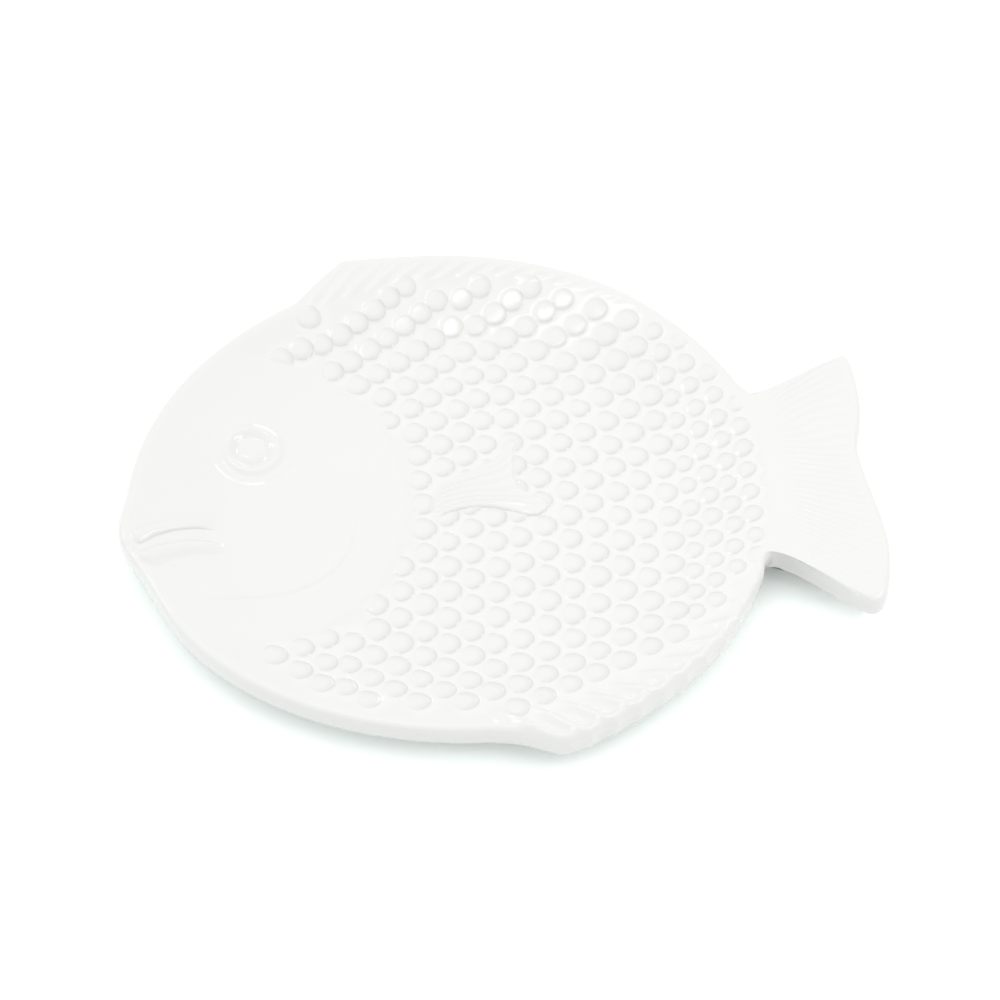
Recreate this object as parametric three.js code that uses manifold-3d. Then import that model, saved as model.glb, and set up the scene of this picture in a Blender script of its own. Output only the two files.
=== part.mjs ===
// A serving plate in the form of a round fish: a dished oval body on a foot ring, with fins, tail and face.
// Millimetres, +Z up, snout towards -X, tail towards +X, back fin towards +Y. The plate stands on z = 0.
import * as THREE from "three";
import { ConvexGeometry } from "three/addons/geometries/ConvexGeometry.js";
import { mergeVertices } from "three/addons/utils/BufferGeometryUtils.js";
import Module from "manifold-3d";

// Body: reaches of the oval from its centre, and heights.
const SNOUT_REACH = 139;
const TAIL_REACH = 117.5;
const BACK_REACH = 120;
const BELLY_REACH = 113.5;
const SNOUT_BULGE = 4;
const SNOUT_BELOW_AXIS = 7;
const SNOUT_HALF_WIDTH = 15;
const FOOT_HEIGHT = 5;
const FLOOR_THICKNESS = 4.5;
const WELL_DEPTH = 10.5;
const EDGE_THICKNESS = 10.5;
const EDGE_ROUND = 3.5;
const EDGE_UNDERCUT = 2;
const SLOPE_WIDTH = 46;
const SLOPE_FULLNESS = 0.6;

// Foot ring under the body.
const FOOT_INSET = 42;
const FOOT_WIDTH = 6;
const FOOT_CHAMFER = 1;
const FOOT_MARGIN = 2;

// Slip seam left between two pieces that are luted together.
const SEAM = 0.3;

// Head: a smooth raised face that ends in a rounded gill edge.
const GILL_FROM_SNOUT = 116;
const GILL_ROUND = 61;
const HEAD_HALF_DEPTH = 70;
const HEAD_ABOVE_AXIS = 10.5;
const HEAD_RISE = 1.2;
const HEAD_RIM_GAP = 5.5;

// Eye: a raised ring round a boss.
const EYE_FROM_SNOUT = 55;
const EYE_ABOVE_AXIS = 36;
const EYE_RING_RADIUS = 15.5;
const EYE_RING_WIDTH = 5;
const EYE_RING_RISE = 2.2;
const PUPIL_RADIUS = 7;
const PUPIL_RISE = 2.4;
const EYE_SINK = 5;

// Lips: two rolls along the mouth, from the rim at the snout to the corner of the mouth.
const LIP_RIM_GAP = 1;
const MOUTH_LENGTH = 40;
const UPPER_LIP_BELOW_AXIS = 3.5;
const LOWER_LIP_BELOW_AXIS = 15.5;
const LIP_ARCH = 3.5;
const LIP_HALF_WIDTH = 4.6;
const LIP_RISE = 1.8;
const LIP_SNOUT_SHARE = 0.2;
const LIP_CORNER_SHARE = 0.96;

// Scales raised on the well, in four bands of columns from the face to the tail. A band has its first column's
// distance from the snout, how many columns there are and how far apart, one scale's place above the axis in
// that column, the stagger from each column to the next, and the pitch and size of its scales.
const SCALE_BANDS = [
  { fromSnout: 44.6, columns: 5, apart: 9.4, first: 7.6, stagger: 4.4, pitch: 12, size: 1 },
  { fromSnout: 91.6, columns: 7, apart: 9.3, first: 0.7, stagger: 5.1, pitch: 12.3, size: 1 },
  { fromSnout: 157.2, columns: 7, apart: 9.9, first: -4.7, stagger: 4.7, pitch: 12.15, size: 1 },
  { fromSnout: 224.8, columns: 5, apart: 8, first: 0.7, stagger: 3.8, pitch: 10.9, size: 0.84 },
];
const SCALE_LENGTH = 9.9;
const SCALE_WIDTH = 10.9;
const SCALE_RISE = 1;
const SCALE_EDGE = 1.2;
const SCALE_BACK_SINK = 0.2;
const SCALE_TILT_DEGREES = -8;
const SCALE_BEND_ABOVE_AXIS = 22;
const SCALE_BEND_BACK = 0.000022;
const SCALE_BEND_BELLY = 0.00078;
const SCALE_GAP_TAIL = 3;
const SCALE_GAP_BACK = 7.5;
const SCALE_GAP_BELLY = 11;
const SCALE_GAP_TAIL_SHARE = 0.25;
const SCALE_GAP_SIDE_SHARE = 0.75;
const SCALE_GILL_GAP = 1.2;

// Side fin on the floor of the well, forked behind its root.
const PECTORAL_BEHIND_GILL = 10;
const PECTORAL_ABOVE_AXIS = 5;
const PECTORAL_LENGTH = 43;
const PECTORAL_ROOT = 17;
const PECTORAL_UPPER = 28;
const PECTORAL_LOWER = 13;
const PECTORAL_FORK = 12;
const PECTORAL_TIP = 5;
const PECTORAL_THICKNESS = 2;

// Edge fins: where each starts, peaks and ends round the oval in degrees, its height and how fast it falls.
const DORSAL_START_DEGREES = 115.6;
const DORSAL_CORNER_DEGREES = 107.3;
const DORSAL_END_DEGREES = 50;
const DORSAL_HEIGHT = 12.3;
const DORSAL_FADE_DEGREES = 15;
const ANAL_START_DEGREES = -93;
const ANAL_CORNER_DEGREES = -80.5;
const ANAL_END_DEGREES = -33;
const ANAL_HEIGHT = 9.8;
const ANAL_FADE_DEGREES = 23;
const FIN_TAIL_HEIGHT = 1;
const FIN_BEVEL = 1.5;
const FIN_LAP = 1.5;

// Tail fin: reach behind the body, spread of its lobes and width of its root.
const TAIL_LENGTH = 39.5;
const TAIL_UPPER_SPREAD = 52;
const TAIL_LOWER_SPREAD = 68;
const TAIL_ROOT_UPPER = 37;
const TAIL_ROOT_LOWER = 41;
const TAIL_NOTCH = 6;
const TAIL_TIP_ROUND = 7;
const TAIL_BELOW_RIM = 0.5;
const TAIL_BEVEL = 1.5;

// Faceting.
const OVAL_STEPS = 80;
const FIN_STEPS = 22;
const FIN_FRONT_STEPS = 3;
const RING_STEPS = 32;
const LIP_STEPS = 14;
const LIP_SIDES = 14;
const CURVE_STEPS = 8;
const EDGE_TURNS = [30, 60, 90];
const SCALE_TURNS = [-80, -27, 27, 80];
const SLOPE_SHARES = [0.12, 0.26, 0.42, 0.6, 0.8, 1];

// Heights that follow from the sizes above.
const FLOOR_TOP = FOOT_HEIGHT + FLOOR_THICKNESS;
const RIM_TOP = FLOOR_TOP + WELL_DEPTH;
const EDGE_BOTTOM = RIM_TOP - EDGE_THICKNESS;
const THROUGH_TOP = 2 * RIM_TOP;
const SNOUT_X = -SNOUT_REACH - SNOUT_BULGE;
const GILL_X = SNOUT_X + GILL_FROM_SNOUT;

const wasm = await Module();
wasm.setup();

/** Reaches of the oval, drawn in by an inset, towards a direction: along the fish and across it. */
function ovalReach(across, along, inset) {
  const reachY = (along > 0 ? BACK_REACH : BELLY_REACH) - inset;
  if (across >= 0) return new THREE.Vector2(TAIL_REACH - inset, reachY);
  const fromSnout = (reachY * along + SNOUT_BELOW_AXIS) / SNOUT_HALF_WIDTH;
  const fading = THREE.MathUtils.clamp(1 - inset / SLOPE_WIDTH, 0, 1);
  const bulge = SNOUT_BULGE * fading * Math.exp(-(fromSnout ** 2));
  return new THREE.Vector2(SNOUT_REACH - inset + bulge, reachY);
}

/** A point of the body's oval, drawn in from its edge by an inset, at an angle in radians. */
function ovalPoint(angle, inset) {
  const across = Math.cos(angle);
  const along = Math.sin(angle);
  const reach = ovalReach(across, along, inset);
  return new THREE.Vector2(reach.x * across, reach.y * along);
}

/** One level ring of the oval, anticlockwise from above. */
function ovalRing(inset, height) {
  const ring = [];
  for (let step = 0; step < OVAL_STEPS; step += 1) {
    const point = ovalPoint((2 * Math.PI * step) / OVAL_STEPS, inset);
    ring.push(new THREE.Vector3(point.x, point.y, height));
  }
  return ring;
}

/** Height of the well's surface where the oval is drawn in by an inset, from the rim down to the floor. */
function wellHeight(inset) {
  const share = THREE.MathUtils.clamp((inset - EDGE_ROUND) / SLOPE_WIDTH, 0, 1);
  return FLOOR_TOP + WELL_DEPTH * (1 - share) ** 2 * (1 + SLOPE_FULLNESS * share);
}

/** Inset of the oval that passes through a point of the plan. */
function insetAt(x, y) {
  let low = 0;
  let high = Math.min(SNOUT_REACH, TAIL_REACH, BACK_REACH, BELLY_REACH);
  while (high - low > SEAM / 100) {
    const middle = (low + high) / 2;
    const along = y / ((y > 0 ? BACK_REACH : BELLY_REACH) - middle);
    const reach = ovalReach(x, along, middle);
    if ((x / reach.x) ** 2 + along ** 2 < 1) low = middle;
    else high = middle;
  }
  return low;
}

/** A closed skin over a stack of rings with the same count of points, capped by a fan at each end. */
function loft(rings) {
  const count = rings[0].length;
  const points = rings.flat();
  const indices = [];
  for (let level = 0; level + 1 < rings.length; level += 1) {
    for (let step = 0; step < count; step += 1) {
      const next = (step + 1) % count;
      const a = level * count + step;
      const b = level * count + next;
      const c = a + count;
      const d = b + count;
      indices.push(a, b, d, a, d, c);
    }
  }
  const first = points.length;
  const last = first + 1;
  const topStart = (rings.length - 1) * count;
  points.push(centreOf(rings[0]), centreOf(rings[rings.length - 1]));
  for (let step = 0; step < count; step += 1) {
    const next = (step + 1) % count;
    indices.push(first, next, step, last, topStart + step, topStart + next);
  }
  const geometry = new THREE.BufferGeometry().setFromPoints(points);
  geometry.setIndex(indices);
  return geometry;
}

/** Mean of a ring's points. */
function centreOf(ring) {
  const sum = new THREE.Vector3();
  ring.forEach((point) => sum.add(point));
  return sum.divideScalar(ring.length);
}

/** A three.js geometry as a solid that can be joined and cut. */
function solid(geometry) {
  const bare = geometry.clone();
  bare.deleteAttribute("normal");
  bare.deleteAttribute("uv");
  const merged = mergeVertices(bare);
  const vertProperties = new Float32Array(merged.attributes.position.array);
  const triVerts = new Uint32Array(merged.index.array);
  return new wasm.Manifold(new wasm.Mesh({ numProp: 3, vertProperties, triVerts }));
}

/** A cut solid as a three.js geometry. */
function geometryOf(cut) {
  const mesh = cut.getMesh();
  const geometry = new THREE.BufferGeometry();
  geometry.setAttribute("position", new THREE.BufferAttribute(mesh.vertProperties, mesh.numProp));
  geometry.setIndex(new THREE.BufferAttribute(mesh.triVerts, 1));
  return geometry;
}

/** Rings up the body's outer edge, over its rim and down the well, pushed out by an offset. */
function upperRings(offset) {
  const rings = [ovalRing(-offset, RIM_TOP - EDGE_ROUND * 1.5)];
  for (const turn of EDGE_TURNS) {
    const angle = THREE.MathUtils.degToRad(turn);
    const inset = EDGE_ROUND - (EDGE_ROUND + offset) * Math.cos(angle);
    const height = RIM_TOP - EDGE_ROUND * (1 - Math.sin(angle)) + offset;
    rings.push(ovalRing(inset, height));
  }
  for (const share of SLOPE_SHARES) {
    const inset = EDGE_ROUND + SLOPE_WIDTH * share;
    rings.push(ovalRing(inset, wellHeight(inset) + offset));
  }
  return rings;
}

/** The dished body: flat underside, sloping to a thick edge, rim and well with its raised scales. */
function plateBody() {
  const underside = [
    ovalRing(FOOT_INSET - FOOT_MARGIN, FOOT_HEIGHT),
    ovalRing(EDGE_UNDERCUT, EDGE_BOTTOM),
    ovalRing(EDGE_UNDERCUT / 4, EDGE_BOTTOM + EDGE_UNDERCUT / 2),
  ];
  const body = solid(loft(underside.concat(upperRings(0))));
  return geometryOf(body.add(scales()));
}

/** Least inset of a scale's middle from the rim: little at the tail, more at the back and belly. */
function scaleRimGap(x, y) {
  const aside = x < 0 ? 1 : Math.abs(y) / Math.hypot(x, y);
  const share = THREE.MathUtils.smoothstep(aside, SCALE_GAP_TAIL_SHARE, SCALE_GAP_SIDE_SHARE);
  return THREE.MathUtils.lerp(SCALE_GAP_TAIL, y > 0 ? SCALE_GAP_BACK : SCALE_GAP_BELLY, share);
}

/** Whether the middle of a scale lies clear of the head's gill edge. */
function behindGill(x, y) {
  const along = Math.max(x - GILL_X + GILL_ROUND, 0) / (GILL_ROUND + SCALE_GILL_GAP);
  return Math.hypot(along, (y - HEAD_ABOVE_AXIS) / (HEAD_HALF_DEPTH + SCALE_GILL_GAP)) > 1;
}

/** Places and headings of the scales of one column, which bends towards the snout above and below. */
function scaleColumn(fromSnout, first, { pitch, size }) {
  const places = [];
  const lowest = first - pitch * Math.floor((BELLY_REACH + first) / pitch);
  for (let y = lowest; y < BACK_REACH; y += pitch) {
    const above = y - SCALE_BEND_ABOVE_AXIS;
    const bend = above > 0 ? SCALE_BEND_BACK * above ** 3 : SCALE_BEND_BELLY * above ** 2;
    const slope = above > 0 ? 3 * SCALE_BEND_BACK * above ** 2 : 2 * SCALE_BEND_BELLY * above;
    const x = SNOUT_X + fromSnout - bend;
    const heading = THREE.MathUtils.degToRad(SCALE_TILT_DEGREES) - Math.atan(slope);
    if (insetAt(x, y) > scaleRimGap(x, y) && behindGill(x, y)) places.push({ x, y, heading, size });
  }
  return places;
}

/** Places, headings and sizes of all the scales, band by band and column by column. */
function scalePlaces() {
  const places = [];
  for (const band of SCALE_BANDS) {
    for (let column = 0; column < band.columns; column += 1) {
      const fromSnout = band.fromSnout + band.apart * column;
      places.push(...scaleColumn(fromSnout, band.first + band.stagger * column, band));
    }
  }
  return places;
}

/** One scale: a low wedge that rises from its sunken back to its round front, with sloping sides. */
function scale({ x, y, heading, size }) {
  const radius = (SCALE_WIDTH * size) / 2;
  const length = SCALE_LENGTH * size;
  const points = [];
  const place = (along, aside, level) => {
    const px = x + along * Math.cos(heading) - aside * Math.sin(heading);
    const py = y + along * Math.sin(heading) + aside * Math.cos(heading);
    points.push(new THREE.Vector3(px, py, wellHeight(insetAt(px, py)) + level));
  };
  place(-length / 2, 0, -SCALE_BACK_SINK);
  for (const turn of SCALE_TURNS) {
    const across = Math.cos(THREE.MathUtils.degToRad(turn));
    const aside = Math.sin(THREE.MathUtils.degToRad(turn));
    for (const side of [-1, 1]) {
      const reach = radius - (side * SCALE_EDGE) / 2;
      const along = length / 2 - radius + reach * across;
      const full = THREE.MathUtils.smoothstep(along, -length / 2, length / 2 - SCALE_EDGE);
      place(along, reach * aside, side * SCALE_RISE * full);
    }
  }
  return solid(new ConvexGeometry(points));
}

/** All the scales, trimmed clear of the rim, the head and the side fin. */
function scales() {
  const raised = wasm.Manifold.union(scalePlaces().map(scale));
  const face = solid(block(headPlan(SEAM), 0, THROUGH_TOP, 3 * CURVE_STEPS));
  const fin = solid(pectoralBlank(SEAM));
  return raised.intersect(ovalColumn(EDGE_ROUND)).subtract(face).subtract(fin);
}

/** All the space below the body's upper surface, raised by an offset, which trims what sits on it. */
function raisedBody(offset) {
  return solid(loft([ovalRing(-offset, 0)].concat(upperRings(offset))));
}

/** An upright column with the oval's outline, drawn in by an inset, that passes through the whole plate. */
function ovalColumn(inset) {
  return solid(loft([ovalRing(inset, 0), ovalRing(inset, THROUGH_TOP)]));
}

/** A plan shape as a straight-sided block between two heights. */
function block(shape, bottom, top, curveSegments = CURVE_STEPS) {
  const depth = top - bottom;
  const geometry = new THREE.ExtrudeGeometry(shape, { depth, bevelEnabled: false, curveSegments });
  return geometry.translate(0, 0, bottom);
}

/** A plan shape as a slab between two heights, with rounded top and bottom edges inside its outline. */
function slab(shape, bottom, top, bevel) {
  const geometry = new THREE.ExtrudeGeometry(shape, {
    depth: top - bottom - 2 * bevel,
    bevelThickness: bevel,
    bevelSize: bevel,
    bevelOffset: -bevel,
    bevelSegments: 2,
    curveSegments: CURVE_STEPS,
  });
  return geometry.translate(0, 0, bottom + bevel);
}

/** The ring that the plate stands on, with a flat top against the body's flat underside. */
function footRing() {
  const outer = solid(
    loft([
      ovalRing(FOOT_INSET + FOOT_CHAMFER, 0),
      ovalRing(FOOT_INSET, FOOT_CHAMFER),
      ovalRing(FOOT_INSET, FOOT_HEIGHT),
    ]),
  );
  const hollow = solid(
    loft([
      ovalRing(FOOT_INSET + FOOT_WIDTH, -FOOT_CHAMFER),
      ovalRing(FOOT_INSET + FOOT_WIDTH, FOOT_HEIGHT + FOOT_CHAMFER),
    ]),
  );
  return geometryOf(outer.subtract(hollow));
}

/** Plan of the head, from past the snout to the round gill edge, grown by a margin. */
function headPlan(margin) {
  const plan = new THREE.Shape();
  const roundCentre = GILL_X - GILL_ROUND;
  const halfDepth = HEAD_HALF_DEPTH + margin;
  plan.moveTo(SNOUT_X, HEAD_ABOVE_AXIS - halfDepth);
  plan.lineTo(roundCentre, HEAD_ABOVE_AXIS - halfDepth);
  plan.absellipse(roundCentre, HEAD_ABOVE_AXIS, GILL_ROUND + margin, halfDepth, -Math.PI / 2, Math.PI / 2);
  plan.lineTo(SNOUT_X, HEAD_ABOVE_AXIS + halfDepth);
  plan.closePath();
  return plan;
}

/** The raised face: a skin over the well from the rim to the round gill edge. */
function head() {
  const skin = raisedBody(HEAD_RISE).subtract(raisedBody(SEAM));
  const face = solid(block(headPlan(0), 0, THROUGH_TOP, 3 * CURVE_STEPS));
  return geometryOf(skin.intersect(face).intersect(ovalColumn(HEAD_RIM_GAP)));
}

/** Height of the face above a point of the plan. */
function faceHeight(x, y) {
  return wellHeight(insetAt(x, y)) + HEAD_RISE;
}

/** A turned piece of the eye, square to the face where the eye's middle lies, and seated on it. */
function eyePiece(profile) {
  const x = SNOUT_X + EYE_FROM_SNOUT;
  const y = EYE_ABOVE_AXIS;
  const half = EYE_RING_RADIUS;
  const slopeX = (faceHeight(x + half, y) - faceHeight(x - half, y)) / (2 * half);
  const slopeY = (faceHeight(x, y + half) - faceHeight(x, y - half)) / (2 * half);
  const outward = new THREE.Vector3(-slopeX, -slopeY, 1).normalize();
  const blank = new THREE.LatheGeometry(profile, RING_STEPS);
  blank.applyQuaternion(new THREE.Quaternion().setFromUnitVectors(new THREE.Vector3(0, 1, 0), outward));
  blank.translate(x, y, faceHeight(x, y));
  return geometryOf(solid(blank).subtract(raisedBody(HEAD_RISE + SEAM)));
}

/** Raised ring round the eye, reaching below the face's slope before it is seated. */
function eyeRing() {
  const middle = EYE_RING_RADIUS - EYE_RING_WIDTH / 2;
  const half = EYE_RING_WIDTH / 2;
  const profile = [new THREE.Vector2(middle - half, -EYE_SINK), new THREE.Vector2(middle + half, -EYE_SINK)];
  for (let step = 0; step <= CURVE_STEPS; step += 1) {
    const angle = (Math.PI * step) / CURVE_STEPS;
    profile.push(new THREE.Vector2(middle + half * Math.cos(angle), EYE_RING_RISE * Math.sin(angle)));
  }
  profile.push(profile[0].clone());
  return eyePiece(profile);
}

/** Domed boss in the middle of the eye. */
function eyePupil() {
  const profile = [new THREE.Vector2(0, -EYE_SINK), new THREE.Vector2(PUPIL_RADIUS, -EYE_SINK)];
  for (let step = 0; step < CURVE_STEPS; step += 1) {
    const angle = (Math.PI * step) / CURVE_STEPS / 2;
    profile.push(new THREE.Vector2(PUPIL_RADIUS * Math.cos(angle), PUPIL_RISE * Math.sin(angle)));
  }
  profile.push(new THREE.Vector2(0, PUPIL_RISE));
  return eyePiece(profile);
}

/** Height of the face along a lip, bent down over the rim's round edge. */
function lipHeight(x, y) {
  const inset = insetAt(x, y);
  const beyond = Math.max(EDGE_ROUND - inset, 0) / EDGE_ROUND;
  return faceHeight(x, y) - EDGE_ROUND * (1 - Math.sqrt(1 - beyond ** 2));
}

/** A roll along the mouth that starts on the rim and thins out at the mouth's corner. */
function lip(belowAxis) {
  const rings = [];
  const along = -belowAxis / BELLY_REACH;
  const start = LIP_RIM_GAP - ovalReach(-1, along, 0).x * Math.sqrt(1 - along ** 2);
  const reach = SNOUT_X + MOUTH_LENGTH - start;
  for (let step = 0; step <= LIP_STEPS; step += 1) {
    const share = step / LIP_STEPS;
    const x = start + reach * share;
    const y = -belowAxis + LIP_ARCH * Math.sin(Math.PI * share);
    const turn = Math.PI * THREE.MathUtils.lerp(LIP_SNOUT_SHARE, LIP_CORNER_SHARE, share);
    const swell = Math.sqrt(Math.sin(turn));
    const ring = [];
    for (let side = 0; side < LIP_SIDES; side += 1) {
      const angle = (2 * Math.PI * side) / LIP_SIDES;
      const aside = LIP_HALF_WIDTH * swell * Math.cos(angle);
      ring.push(new THREE.Vector3(x, y + aside, lipHeight(x, y) + LIP_RISE * swell * Math.sin(angle)));
    }
    rings.push(ring);
  }
  return geometryOf(solid(loft(rings)).subtract(raisedBody(HEAD_RISE + SEAM)));
}

/** The forked side fin, flat on the floor of the well, grown by a margin. */
function pectoralBlank(margin) {
  const half = PECTORAL_ROOT / 2;
  const upperTip = new THREE.Vector2(PECTORAL_LENGTH - PECTORAL_FORK, PECTORAL_UPPER);
  const lowerTip = new THREE.Vector2(PECTORAL_LENGTH, -PECTORAL_LOWER + PECTORAL_TIP);
  const plan = new THREE.Shape();
  plan.moveTo(0, -half);
  plan.quadraticCurveTo(PECTORAL_FORK, -half / 2, lowerTip.x - PECTORAL_FORK, -PECTORAL_LOWER);
  plan.quadraticCurveTo(lowerTip.x, -PECTORAL_LOWER, lowerTip.x, lowerTip.y);
  plan.quadraticCurveTo(upperTip.x, 0, upperTip.x + PECTORAL_TIP / 2, upperTip.y);
  plan.lineTo(upperTip.x, upperTip.y);
  plan.quadraticCurveTo(upperTip.x - PECTORAL_FORK / 2, PECTORAL_UPPER - PECTORAL_FORK, PECTORAL_TIP, half);
  plan.lineTo(0, half);
  plan.closePath();
  const fin = new THREE.ExtrudeGeometry(plan, {
    depth: PECTORAL_THICKNESS,
    bevelEnabled: margin > 0,
    bevelThickness: margin,
    bevelSize: margin,
    bevelSegments: 1,
    curveSegments: CURVE_STEPS,
  });
  return fin.translate(GILL_X + PECTORAL_BEHIND_GILL, PECTORAL_ABOVE_AXIS, FLOOR_TOP);
}

/** Height of an edge fin outside the oval at an angle in degrees: up its front, then a falling curve. */
function finHeight(fin, angle) {
  const front = (fin.start - angle) / (fin.start - fin.corner);
  const falling = Math.exp(-Math.abs(fin.corner - angle) / fin.fade);
  return THREE.MathUtils.lerp(FIN_TAIL_HEIGHT, fin.height, front < 1 ? front : falling);
}

/** Upright section of an edge fin at an angle in degrees, from its lap on the rim to its outer edge. */
function finSection(fin, angle) {
  const radians = THREE.MathUtils.degToRad(angle);
  const tip = -finHeight(fin, angle);
  const corners = [
    [tip + FIN_BEVEL, EDGE_BOTTOM],
    [tip, EDGE_BOTTOM + FIN_BEVEL],
    [tip, RIM_TOP - FIN_BEVEL],
    [tip + FIN_BEVEL / 3, RIM_TOP - FIN_BEVEL / 3],
    [tip + FIN_BEVEL, RIM_TOP],
    [FIN_LAP, RIM_TOP],
    [FIN_LAP, EDGE_BOTTOM],
  ];
  return corners.map(([inset, height]) => {
    const point = ovalPoint(radians, inset);
    return new THREE.Vector3(point.x, point.y, height);
  });
}

/** A fin along the edge, lapped on to the rim and trimmed to the body's seam. */
function edgeFin(fin) {
  const sections = [];
  for (let step = 0; step <= FIN_FRONT_STEPS; step += 1) {
    sections.push(finSection(fin, THREE.MathUtils.lerp(fin.start, fin.corner, step / FIN_FRONT_STEPS)));
  }
  for (let step = 1; step <= FIN_STEPS; step += 1) {
    sections.push(finSection(fin, THREE.MathUtils.lerp(fin.corner, fin.end, step / FIN_STEPS)));
  }
  if (fin.end > fin.start) sections.forEach((section) => section.reverse());
  return geometryOf(solid(loft(sections)).subtract(raisedBody(SEAM)));
}

/** The forked tail, level with the rim and trimmed to the body's seam. */
function tailFin() {
  const end = TAIL_REACH + TAIL_LENGTH;
  const plan = new THREE.Shape();
  plan.moveTo(TAIL_REACH - TAIL_LENGTH / 2, -TAIL_ROOT_LOWER);
  plan.lineTo(TAIL_REACH - TAIL_TIP_ROUND, -TAIL_ROOT_LOWER);
  plan.lineTo(end - 2 * TAIL_TIP_ROUND, -TAIL_LOWER_SPREAD);
  const lowerTip = -TAIL_LOWER_SPREAD + 2 * TAIL_TIP_ROUND;
  plan.quadraticCurveTo(end - TAIL_TIP_ROUND / 2, -TAIL_LOWER_SPREAD, end, lowerTip);
  plan.quadraticCurveTo(end, -TAIL_ROOT_LOWER, end - TAIL_NOTCH, 0);
  plan.quadraticCurveTo(end, TAIL_ROOT_UPPER, end, TAIL_UPPER_SPREAD - TAIL_TIP_ROUND);
  plan.lineTo(end - TAIL_TIP_ROUND / 2, TAIL_UPPER_SPREAD);
  plan.lineTo(TAIL_REACH, TAIL_ROOT_UPPER);
  plan.lineTo(TAIL_REACH - TAIL_LENGTH / 2, TAIL_ROOT_UPPER);
  plan.closePath();
  const blank = solid(slab(plan, EDGE_BOTTOM, RIM_TOP - TAIL_BELOW_RIM, TAIL_BEVEL));
  return geometryOf(blank.subtract(ovalColumn(FIN_LAP)).subtract(raisedBody(SEAM)));
}

/** Glossy white glaze. */
function glaze() {
  return new THREE.MeshStandardMaterial({ color: 0xf4f6f4, roughness: 0.12, metalness: 0 });
}

/** Bare fired clay, where the foot is wiped clean of glaze. */
function bareClay() {
  return new THREE.MeshStandardMaterial({ color: 0xe9e3d6, roughness: 0.85, metalness: 0 });
}

/** A named piece of the plate. */
function piece(name, geometry, material) {
  const mesh = new THREE.Mesh(geometry, material);
  mesh.name = name;
  return mesh;
}

const dorsal = {
  start: DORSAL_START_DEGREES,
  corner: DORSAL_CORNER_DEGREES,
  end: DORSAL_END_DEGREES,
  height: DORSAL_HEIGHT,
  fade: DORSAL_FADE_DEGREES,
};
const anal = {
  start: ANAL_START_DEGREES,
  corner: ANAL_CORNER_DEGREES,
  end: ANAL_END_DEGREES,
  height: ANAL_HEIGHT,
  fade: ANAL_FADE_DEGREES,
};

const plate = new THREE.Group();
plate.add(
  piece("plate_body", plateBody(), glaze()),
  piece("foot_ring", footRing(), bareClay()),
  piece("head", head(), glaze()),
  piece("eye_ring", eyeRing(), glaze()),
  piece("eye_pupil", eyePupil(), glaze()),
  piece("upper_lip", lip(UPPER_LIP_BELOW_AXIS), glaze()),
  piece("lower_lip", lip(LOWER_LIP_BELOW_AXIS), glaze()),
  piece("pectoral_fin", pectoralBlank(0), glaze()),
  piece("dorsal_fin", edgeFin(dorsal), glaze()),
  piece("anal_fin", edgeFin(anal), glaze()),
  piece("tail_fin", tailFin(), glaze()),
);

// The origin is the middle of the plate's bounding box, on the surface that it stands on.
const box = new THREE.Box3().setFromObject(plate);
const middle = box.getCenter(new THREE.Vector3());
plate.position.set(-middle.x, -middle.y, -box.min.z);

export default plate;
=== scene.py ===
"""A white glazed serving plate in the form of a round fish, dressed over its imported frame.

Sizes are in millimetres in the plate's own frame: snout towards -X, tail towards +X, back fin towards +Y,
and the plate stands on z = 0. They become metres where a mesh is made.
"""

import logging
import math
import random
from dataclasses import dataclass, field
from enum import Enum

import bpy
import numpy as np
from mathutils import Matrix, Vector
from mathutils.geometry import delaunay_2d_cdt


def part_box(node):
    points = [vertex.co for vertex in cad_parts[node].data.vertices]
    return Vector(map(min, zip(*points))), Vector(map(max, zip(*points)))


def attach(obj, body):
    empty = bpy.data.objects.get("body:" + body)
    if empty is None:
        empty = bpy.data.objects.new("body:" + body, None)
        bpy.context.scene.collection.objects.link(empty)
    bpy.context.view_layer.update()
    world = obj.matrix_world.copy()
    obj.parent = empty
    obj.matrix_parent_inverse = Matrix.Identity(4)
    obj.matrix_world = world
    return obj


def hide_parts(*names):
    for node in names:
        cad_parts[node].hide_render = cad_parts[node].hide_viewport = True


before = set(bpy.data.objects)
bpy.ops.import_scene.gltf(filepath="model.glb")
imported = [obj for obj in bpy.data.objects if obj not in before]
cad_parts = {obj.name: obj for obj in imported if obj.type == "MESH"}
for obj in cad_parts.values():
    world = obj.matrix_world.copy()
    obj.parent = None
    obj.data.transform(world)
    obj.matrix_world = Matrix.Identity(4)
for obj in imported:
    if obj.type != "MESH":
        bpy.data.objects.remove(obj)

Array = np.ndarray
Node = bpy.types.Node
Socket = bpy.types.NodeSocket
Tree = bpy.types.NodeTree
Mesh = bpy.types.Mesh
Object = bpy.types.Object
Material = bpy.types.Material
Spot = tuple[float, float]
Colour = tuple[float, float, float, float]

MM = 0.001
FRAME_TAIL_REACH = 117.5
FRAME_BACK_REACH = 120.0
RIB_MEAN = 0.6
LOG = logging.getLogger("fish_plate")


class Slot(Enum):
    """The finishes that the plate's record knows."""

    GLAZE = "glaze"
    BARE_CLAY = "bare_clay"


class Side(Enum):
    """The two ends of a node tree, with their node types."""

    INPUT = "NodeGroupInput"
    OUTPUT = "NodeGroupOutput"


class Mark(Enum):
    """What the skin's points carry for its relief and for the painted highlight and shade on its glaze."""

    SCALE_MASK = "scale_mask"
    RIB_PLACE = "rib_place"
    RIB_RISE = "rib_rise"
    RIB_SOFT = "rib_soft"
    POOL = "pool"


class ScaleMark(Enum):
    """What each scale's point carries."""

    HEADING = "heading"
    SIZE = "size"
    LEAN = "lean"


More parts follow.
